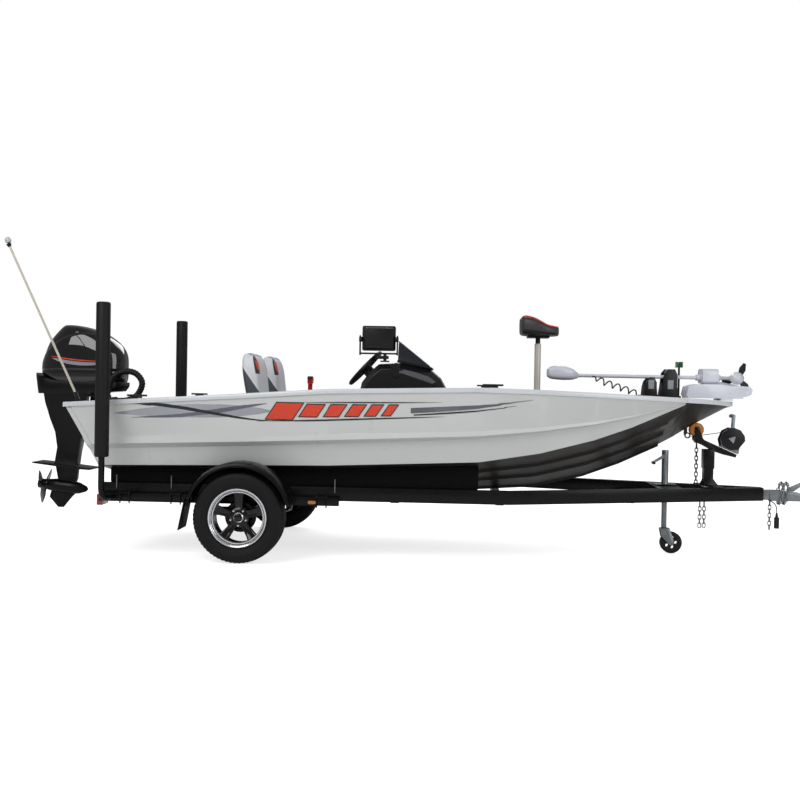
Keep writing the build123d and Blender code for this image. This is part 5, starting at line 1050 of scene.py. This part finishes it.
class BOAT_OT_cords(bpy.types.Operator):
    """Model the curly cord, the plug lead and the rigging hose"""

    bl_idname = "boat.cords"
    bl_label = "Cords"

    # Middle line of the coil, from the bow motor's shaft to the deck
    CURLY = [(1.335, -0.360, 1.370), (1.425, -0.346, 1.328), (1.530, -0.330, 1.294),
             (1.630, -0.312, 1.262), (1.706, -0.297, 1.230)]
    COIL_RADIUS = 0.0275
    STEPS_PER_TURN = 24
    # Share of a turn over which the coil opens and closes at its ends
    EASE = 0.8
    # Hose from the rear deck up, over and down to the outboard
    HOSE = [(-2.300, -0.345, 1.120), (-2.215, -0.345, 1.128), (-2.140, -0.345, 1.172),
            (-2.106, -0.345, 1.262), (-2.158, -0.345, 1.334), (-2.248, -0.345, 1.348),
            (-2.326, -0.345, 1.308), (-2.364, -0.345, 1.238), (-2.378, -0.345, 1.166)]
    HOSE_RADIUS, HOSE_RIB = 0.0248, 0.0025
    # Lead from the coupler down to its plug
    LEAD = [(2.748, -0.047, 0.436), (2.772, -0.051, 0.427), (2.795, -0.055, 0.408),
            (2.809, -0.056, 0.380), (2.812, -0.056, 0.340)]
    LEAD_RADIUS = 0.004

    def execute(self, context):
        sizes = context.scene.boat_sizes
        self.curly_cord(sizes.cord_turns, sizes.cord_radius)
        self.rigging_hose()
        self.plug_lead()
        return {"FINISHED"}

    def curly_cord(self, turns, wire):
        """Helix round its middle line; one end lies by the bow motor's shaft."""
        count = turns * self.STEPS_PER_TURN + 1
        middle = run_of(self.CURLY, count)
        coil = self.COIL_RADIUS - wire
        path = []
        for i, (at, (a, b)) in enumerate(zip(middle, frames_along(middle))):
            share = i / (count - 1)
            ease = min(share * turns / self.EASE, (1 - share) * turns / self.EASE, 1.0)
            turn = math.tau * share * turns
            path.append(at + (a * math.cos(turn) + b * math.sin(turn)) * coil * ease)
        cord = tube("curly_cord_coil", path, wire, 10)
        smooth(cord, 60.0)
        cord.data.materials.append(MATERIALS["Black rubber"])
        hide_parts("curly_cord")
        tuple(self.CURLY[0])
        tuple(self.CURLY[-1])
        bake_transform(cord)

    def rigging_hose(self):
        """Stiff ribbed hose of the outboard."""
        hose = tube("rigging_hose_skin", run_of(self.HOSE, 150), self.HOSE_RADIUS, 20, self.HOSE_RIB)
        smooth(hose, 30.0)
        put(hose, ROOT, "rubber_black", MATERIALS["Black rubber"])
        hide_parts("rigging_hose")

    def plug_lead(self):
        """Lead that hangs with the plug on its end."""
        line = run_of(self.LEAD, 30)
        lead = tube("plug_lead_wire", line, self.LEAD_RADIUS, 10)
        smooth(lead, 60.0)
        put(lead, ROOT, "rubber_black", MATERIALS["Black rubber"])
        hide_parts("plug_lead")


class BOAT_OT_chains(bpy.types.Operator):
    """Model one round link and hang copies of it as the chains"""

    bl_idname = "boat.chains"
    bl_label = "Chains"

    # Columns: name, middle of the first link, links, finish
    HUNG = [
        ("bow_chain", (2.2000, 0.0, 0.8423), 10, "Chain black"),
        ("bow_chain_tail_1", (2.1860, -0.212, 0.4057), 6, "Zinc"),
        ("bow_chain_tail_2", (2.2220, -0.199, 0.4057), 6, "Zinc"),
        ("tow_chain", (2.7780, 0.018, 0.4057), 7, "Zinc"),
    ]
    PITCH = 0.0314
    # Link: wire radius, radius of its round ends, and half of its straight sides
    LINK_WIRE, LINK_END, LINK_SIDE = 0.004, 0.011, 0.009
    LINK_STEPS = 28
    # Loops of the tow chain round the coupler: their places, half-sizes, middle height and links
    WRAPS = (2.850, 2.888)
    WRAP_HALF_WIDTH, WRAP_HALF_HEIGHT, WRAP_Z = 0.060, 0.080, 0.487
    WRAP_LINKS = 14

    def execute(self, context):
        link = self.link()
        for name, start, count, material in self.HUNG:
            spots = [(Vector(start) - Vector((0, 0, self.PITCH * i)), Vector((0, 0, -1)), Vector((1, 0, 0)))
                     for i in range(count)]
            chain = self.chain(link, name, spots, material)
            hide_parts("chains")
        wide, high = self.WRAP_HALF_WIDTH, self.WRAP_HALF_HEIGHT
        for number, x in enumerate(self.WRAPS):
            spots = []
            for i in range(self.WRAP_LINKS):
                turn = math.tau * i / self.WRAP_LINKS
                c, s = math.cos(turn), math.sin(turn)
                at = Vector((x + 0.010 * c, wide * s, self.WRAP_Z + high * c))
                run = Vector((0.0, wide * c, -high * s)).normalized()
                spots.append((at, run, Vector((1, 0, 0))))
            self.chain(link, f"tow_chain_wrap_{number + 1}", spots, "Zinc")
        bpy.data.objects.remove(link)
        return {"FINISHED"}

    def link(self):
        """One upright link in the middle of the scene."""
        points = []
        for step in range(self.LINK_STEPS):
            turn = math.tau * step / self.LINK_STEPS
            c, s = math.cos(turn), math.sin(turn)
            points.append((self.LINK_END * s, 0.0, math.copysign(self.LINK_SIDE, c) + self.LINK_END * c))
        link = ring_of("chain_link", points, self.LINK_WIRE, 8)
        smooth(link, 60.0)
        return link

    def chain(self, link, name, spots, material):
        """Copies of the link at (place, run, side), every second one turned, joined to one piece."""
        copies = []
        for number, (at, run, side) in enumerate(spots):
            across = side if number % 2 else run.cross(side).normalized()
            turn = Matrix((across, run.cross(across), run)).transposed().to_4x4()
            copies.append(repeat(link, name, Matrix.Translation(at) @ turn))
        bpy.ops.object.select_all(action="DESELECT")
        for obj in copies:
            obj.select_set(True)
        bpy.context.view_layer.objects.active = copies[0]
        bpy.ops.object.join()
        copies[0].name = name
        return put(copies[0], ROOT, "zinc", MATERIALS[material])


class BOAT_OT_trims(bpy.types.Operator):
    """Add the small fittings that finish the CAD pieces"""

    bl_idname = "boat.trims"
    bl_label = "Trims"

    # Bow motor's head along the shaft. Columns: along, half-width, half-height, middle height
    HEAD = [
        (-1.567, 0.006, 0.006, 1.392), (-1.565, 0.028, 0.024, 1.392), (-1.556, 0.041, 0.037, 1.393),
        (-1.535, 0.050, 0.047, 1.394), (-1.500, 0.0550, 0.0525, 1.395), (-1.450, 0.0550, 0.0525, 1.392),
        (-1.405, 0.0510, 0.0475, 1.388), (-1.372, 0.043, 0.040, 1.383), (-1.350, 0.031, 0.029, 1.379),
        (-1.338, 0.0235, 0.0235, 1.376), (-1.330, 0.0180, 0.0180, 1.376), (-1.326, 0.004, 0.004, 1.376),
    ]
    # Boxes. Columns: name, centre, size, edge, slot, finish
    BOXES = [
        ("throttle_grip", (-0.741, -0.796, 1.230), (0.031, 0.027, 0.112), 0.006, "lamp_red", "Red anodised"),
        ("throttle_cap", (-0.741, -0.791, 1.317), (0.038, 0.068, 0.030), 0.009, "rubber_black",
         "Black plastic"),
        # The bunk battens carry the bunk carpet that is darkened as painted shade.
        ("bunk_batten_port", (-0.8655, 0.715, 0.5385), (2.690, 0.044, 0.018), 0.002, "carpet",
         "Bunk carpet with painted shade"),
        ("bunk_batten_starboard", (-0.8655, -0.715, 0.5385), (2.690, 0.044, 0.018), 0.002, "carpet",
         "Bunk carpet with painted shade"),
    ]
    # Plates on the bow motor's rests: their places along its shaft
    REST_PLATES = (-0.770, -0.618)
    # Windshield: its two sides, then (x, z) of the rail at its foot and of the trim on its edge
    SHIELD_YS = (-0.659, -0.241)
    FOOT_RAIL = [(-0.122, 1.452), (-0.06, 1.441), (0.06, 1.418), (0.132, 1.404)]
    EDGE_TRIM = [(-0.110, 1.598), (0.0, 1.512), (0.110, 1.425)]
    RAIL_RADIUS, TRIM_RADIUS = 0.0085, 0.0032
    # Painted highlight on the console's side: rear and front ends of its lower and upper edge
    HIGHLIGHT_LOW = (Vector((-0.105, -0.74, 1.372)), Vector((0.140, -0.74, 1.292)))
    HIGHLIGHT_HIGH = (Vector((-0.060, -0.74, 1.396)), Vector((0.185, -0.74, 1.322)))
    # Three-cornered inset of the winch. Columns: radius, along its axis
    INSET = [(0.0, -0.0785), (0.030, -0.0785), (0.036, -0.0735), (0.0, -0.0735)]
    # U-bolts by the bunks: their places along the frame, distance from the middle, heights
    U_BOLTS = (-2.155, -1.750, -0.552)
    BOLT_Y = 0.7795
    BOLT_ZS = (0.4915, 0.560, 0.588)

    def execute(self, context):
        self.bow_motor()
        for name, centre, size, edge, slot, material in self.BOXES:
            put(block(name, centre, size, edge), ROOT, slot, MATERIALS[material])
        self.windshield()
        self.insets()
        self.bolts()
        return {"FINISHED"}

    def rod(self, name, points, radius, sides, slot, material):
        """Round rod through the points."""
        rod = tube(name, points, radius, sides)
        smooth(rod, 50.0)
        put(rod, ROOT, slot, MATERIALS[material])

    def bow_motor(self):
        """Cover of the bow motor's head, and the plates that its shaft lies on."""
        def place(u, v):
            along, wide, high, middle = row_at(self.HEAD, v)
            across, up = oval(u, wide, high, 3.0)
            return shaft_point(along, across, middle + up)

        head = skin("tm_head_cover", 48, 44, place)
        capped(head)
        smooth(head, 40.0)
        put(head, "bow_motor", "white_plastic", MATERIALS["White plastic"])
        yaw = Matrix.Rotation(MOTOR_YAW, 4, "Z")
        for number, along in enumerate(self.REST_PLATES):
            at = shaft_point(along, -0.0455, 1.318)
            plate = block(f"tm_rest_plate_{number + 1}", at, (0.046, 0.003, 0.068), 0.001, yaw)
            put(plate, ROOT, "post_metal", MATERIALS["Zinc"])

    def windshield(self):
        """Rails at the windshield's foot and bright trims on its edges."""
        for number, y in enumerate(self.SHIELD_YS):
            foot = [(x, y, z) for x, z in self.FOOT_RAIL]
            edge = [(x, y, z) for x, z in self.EDGE_TRIM]
            self.rod(f"windshield_rail_{number + 1}", foot, self.RAIL_RADIUS, 12, "console_black",
                     "Black plastic")
            self.rod(f"windshield_trim_{number + 1}", edge, self.TRIM_RADIUS, 8, "post_metal", "Zinc")
        front = [(0.128, y, 1.4045) for y in self.SHIELD_YS]
        self.rod("windshield_rail_front", front, self.RAIL_RADIUS, 12, "console_black", "Black plastic")

    def insets(self):
        """Painted highlight on the console's side, and inset of the winch."""
        def highlight_point(u, v):
            low, high = self.HIGHLIGHT_LOW, self.HIGHLIGHT_HIGH
            return low[0].lerp(low[1], u).lerp(high[0].lerp(high[1], u), v)

        # Pale patch laid on the console's side: a painted highlight
        highlight_patch = decal("console_painted_highlight", 20, 6, highlight_point, DRESSED["console"], 0.0012)
        put(highlight_patch, ROOT, "console_black", MATERIALS["Console painted highlight"])
        inset = turned("winch_inset", self.INSET, (2.458, 0.0, 0.902), (0, 1, 0), 3)
        finish_with(inset, "BEVEL", width=0.004, segments=3, limit_method="ANGLE")
        smooth(inset, 30.0)
        put(inset, ROOT, "console_black", MATERIALS["Stripe silver"])

    def bolts(self):
        """Upright rods of the U-bolts on both sides."""
        for number, x in enumerate(self.U_BOLTS):
            for label, y in (("port", self.BOLT_Y), ("starboard", -self.BOLT_Y)):
                points = [(x, y, z) for z in self.BOLT_ZS]
                self.rod(f"u_bolt_{number + 1}_{label}", points, 0.0036, 8, "zinc", "Zinc")


class BOAT_OT_stripes(bpy.types.Operator):
    """Lay the hull's stripes on both side plates"""

    bl_idname = "boat.stripes"
    bl_label = "Stripes"

    # Columns: finish, then (x, low z, high z) rows from stern to bow
    STRIPES = [
        ("Stripe silver", [(-2.14, 0.984, 0.986), (-1.90, 0.968, 1.030), (-1.60, 0.962, 1.070),
                           (-1.30, 0.974, 1.072), (-1.10, 1.000, 1.056), (-0.98, 1.026, 1.032)]),
        ("Stripe grey", [(-2.02, 0.952, 0.954), (-1.70, 0.962, 0.986), (-1.42, 0.996, 1.030),
                         (-1.20, 1.042, 1.070), (-1.02, 1.088, 1.092)]),
        ("Stripe black", [(-2.18, 1.056, 1.060), (-1.92, 1.056, 1.078), (-1.64, 1.028, 1.054),
                          (-1.38, 0.984, 1.006), (-1.14, 0.954, 0.966), (-0.98, 0.948, 0.950)]),
        ("Stripe black", [(-1.10, 0.946, 0.948), (-0.74, 0.954, 0.966), (-0.34, 0.972, 0.984),
                          (0.02, 0.990, 0.998), (0.24, 1.004, 1.005)]),
        ("Stripe grey", [(0.00, 1.028, 1.070), (0.22, 1.044, 1.082), (0.46, 1.068, 1.096),
                         (0.70, 1.098, 1.108), (0.88, 1.122, 1.124)]),
        ("Stripe black", [(0.02, 1.010, 1.019), (0.28, 1.028, 1.040), (0.54, 1.054, 1.062),
                          (0.76, 1.078, 1.080)]),
        ("Stripe black", [(-0.80, 1.101, 1.102), (-0.46, 1.104, 1.112), (-0.10, 1.108, 1.115),
                          (0.22, 1.116, 1.117)]),
    ]
    # Slanted bars. Columns: x of the foot, width, foot z, head z
    BARS = [(-1.03, 0.185, 0.966, 1.096), (-0.79, 0.120, 0.994, 1.086), (-0.615, 0.104, 0.998, 1.087),
            (-0.460, 0.088, 1.002, 1.088), (-0.322, 0.072, 1.006, 1.089), (-0.200, 0.056, 1.010, 1.090)]
    SLANT = 0.62
    # Plane beside the hull from which the stripes are laid on
    BESIDE_Y = -1.12

    def execute(self, context):
        for number, (material, rows) in enumerate(self.STRIPES):
            def place(u, v):
                x, low, high = row_at(rows, u)
                return Vector((x, self.BESIDE_Y, low + (high - low) * v))

            self.lay(f"hull_stripe_{number + 1}", 60, 4, place, material, 0.0006 + 0.0004 * number)
        for number, (foot, width, low, high) in enumerate(self.BARS):
            for part, (material, grow) in enumerate((("Stripe black", 0.008), ("Stripe accent", 0.0))):
                def place(u, v):
                    z = low - grow + (high - low + 2 * grow) * v
                    x = foot - grow + (width + 2 * grow) * u + self.SLANT * (z - low)
                    return Vector((x, self.BESIDE_Y, z))

                name = f"hull_bar_{number + 1}_{part + 1}"
                self.lay(name, 10, 6, place, material, 0.0036 + 0.0006 * part)
        return {"FINISHED"}

    def lay(self, name, around, along, place, material, offset):
        """One patch on the starboard plate and its mirror image on the port plate."""
        patch = decal(f"{name}_starboard", around, along, place, DRESSED["side_plate_starboard"], offset)
        put(patch, ROOT, "hull_white", MATERIALS[material])
        put(mirrored(patch, f"{name}_port"), ROOT, "hull_white")


class BOAT_OT_stage(bpy.types.Operator):
    """Set the camera, the floor and the lights"""

    bl_idname = "boat.stage"
    bl_label = "Stage"

    EYE = (0.305, -8.46, 1.265)
    YAW, PITCH, ROLL = math.radians(2.95), math.radians(-0.7), math.radians(1.0)
    SENSOR = 36.0
    # Focal length in pixels of a picture 800 pixels wide
    FOCAL_PIXELS = 1067
    # Area lights. Columns: name, place, aim, size, power
    LAMPS = [
        ("key", (-4.0, -7.0, 6.5), (0, 0, 0.8), 5.0, 360.0),
        ("fill", (6.0, -5.0, 3.5), (0.5, 0, 0.8), 4.0, 150.0),
        ("back", (0.0, 6.5, 6.0), (0, 0, 1.0), 5.0, 240.0),
    ]
    # Strength of the white surroundings: as the camera sees them, as light, and what mirrors lose
    SEEN, LIGHT, MIRROR_LOSS = 1.0, 0.46, -0.22
    # Glow of the floor as the camera sees it
    FLOOR_GLOW = 0.72

    def execute(self, context):
        self.camera(context.scene)
        self.floor()
        self.surroundings(context.scene)
        self.lamps(context.scene)
        context.scene.view_settings.view_transform = "Standard"
        return {"FINISHED"}

    def camera(self, scene):
        """Camera beside the boat, turned a little to the bow, tilted and rolled."""
        yaw, pitch, roll = self.YAW, self.PITCH, self.ROLL
        look = Vector((-math.sin(yaw) * math.cos(pitch), math.cos(yaw) * math.cos(pitch), math.sin(pitch)))
        level = look.cross(Vector((0, 0, 1))).normalized()
        right = level * math.cos(roll) + level.cross(look) * math.sin(roll)
        turn = Matrix((right, right.cross(look), -look)).transposed().to_4x4()
        camera = bpy.data.objects.new("camera", bpy.data.cameras.new("camera"))
        scene.collection.objects.link(camera)
        camera.matrix_world = Matrix.Translation(self.EYE) @ turn
        camera.data.sensor_width = self.SENSOR
        camera.data.lens = self.SENSOR * self.FOCAL_PIXELS / 800
        camera.data.clip_end = 200.0
        scene.camera = camera

    def floor(self):
        """Plain pale floor that keeps the shadow."""
        bpy.ops.object.select_all(action="DESELECT")
        bpy.ops.mesh.primitive_plane_add(size=80.0, location=(0, 0, -0.002))
        floor = bpy.context.object
        floor.name = "floor"
        pale = bpy.data.materials.new("Pale floor")
        pale.use_nodes = True
        tree = pale.node_tree
        shade = tree.nodes["Principled BSDF"]
        shade.inputs["Base Color"].default_value = (0.8, 0.8, 0.8, 1)
        shade.inputs["Roughness"].default_value = 0.9
        shade.inputs["Specular IOR Level"].default_value = 0.0
        shade.inputs["Emission Color"].default_value = (1, 1, 1, 1)
        rays = node(tree, "ShaderNodeLightPath")
        lift = node(tree, "ShaderNodeMath", {1: self.FLOOR_GLOW}, operation="MULTIPLY")
        tree.links.new(rays.outputs["Is Camera Ray"], lift.inputs[0])
        tree.links.new(lift.outputs["Value"], shade.inputs["Emission Strength"])
        floor.data.materials.append(pale)

    def surroundings(self, scene):
        """White background that lights the boat less strongly than it shows."""
        world = bpy.data.worlds.new("studio")
        scene.world = world
        world.use_nodes = True
        tree = world.node_tree
        back = tree.nodes["Background"]
        back.inputs["Color"].default_value = (1, 1, 1, 1)
        rays = node(tree, "ShaderNodeLightPath")
        seen = node(tree, "ShaderNodeMath", operation="MAXIMUM")
        level = node(tree, "ShaderNodeMapRange", {"To Min": self.LIGHT, "To Max": self.SEEN})
        mirror = node(tree, "ShaderNodeMath", {1: self.MIRROR_LOSS}, operation="MULTIPLY")
        total = node(tree, "ShaderNodeMath", operation="ADD")
        tree.links.new(rays.outputs["Is Camera Ray"], seen.inputs[0])
        tree.links.new(rays.outputs["Is Transmission Ray"], seen.inputs[1])
        tree.links.new(seen.outputs["Value"], level.inputs["Value"])
        tree.links.new(rays.outputs["Is Glossy Ray"], mirror.inputs[0])
        tree.links.new(level.outputs["Result"], total.inputs[0])
        tree.links.new(mirror.outputs["Value"], total.inputs[1])
        tree.links.new(total.outputs["Value"], back.inputs["Strength"])

    def lamps(self, scene):
        """Soft area lights."""
        for name, place, aim, size, power in self.LAMPS:
            lamp = bpy.data.lights.new(name, "AREA")
            lamp.energy = power
            lamp.size = size
            holder = bpy.data.objects.new(name, lamp)
            scene.collection.objects.link(holder)
            aimed = (Vector(aim) - Vector(place)).to_track_quat("-Z", "Y")
            holder.matrix_world = Matrix.Translation(place) @ aimed.to_matrix().to_4x4()


OPERATORS = [
    BOAT_OT_finishes, BOAT_OT_cad_skins, BOAT_OT_cowl, BOAT_OT_wheels, BOAT_OT_seats, BOAT_OT_cords,
    BOAT_OT_chains, BOAT_OT_trims, BOAT_OT_stripes, BOAT_OT_stage,
]


class BOAT_PT_panel(bpy.types.Panel):
    """Lists the steps in order"""

    bl_idname = "BOAT_PT_panel"
    bl_label = "Bass boat"
    bl_space_type = "VIEW_3D"
    bl_region_type = "UI"
    bl_category = "Boat"

    def draw(self, context):
        for step in OPERATORS:
            self.layout.operator(step.bl_idname)


CLASSES = [BoatColours, BoatSizes] + OPERATORS + [BOAT_PT_panel]


def register():
    """Register the classes and attach the settings to the scene."""
    for item in CLASSES:
        bpy.utils.register_class(item)
    bpy.types.Scene.boat_colours = PointerProperty(type=BoatColours)
    bpy.types.Scene.boat_sizes = PointerProperty(type=BoatSizes)


def unregister():
    """Undo register."""
    del bpy.types.Scene.boat_sizes
    del bpy.types.Scene.boat_colours
    for item in reversed(CLASSES):
        bpy.utils.unregister_class(item)


def main():
    """Run every step in order."""
    register()
    bpy.ops.boat.finishes()
    bpy.ops.boat.cad_skins()
    bpy.ops.boat.cowl()
    bpy.ops.boat.wheels()
    bpy.ops.boat.seats()
    bpy.ops.boat.cords()
    bpy.ops.boat.chains()
    bpy.ops.boat.trims()
    bpy.ops.boat.stripes()
    bpy.ops.boat.stage()


if __name__ == "__main__":
    main()
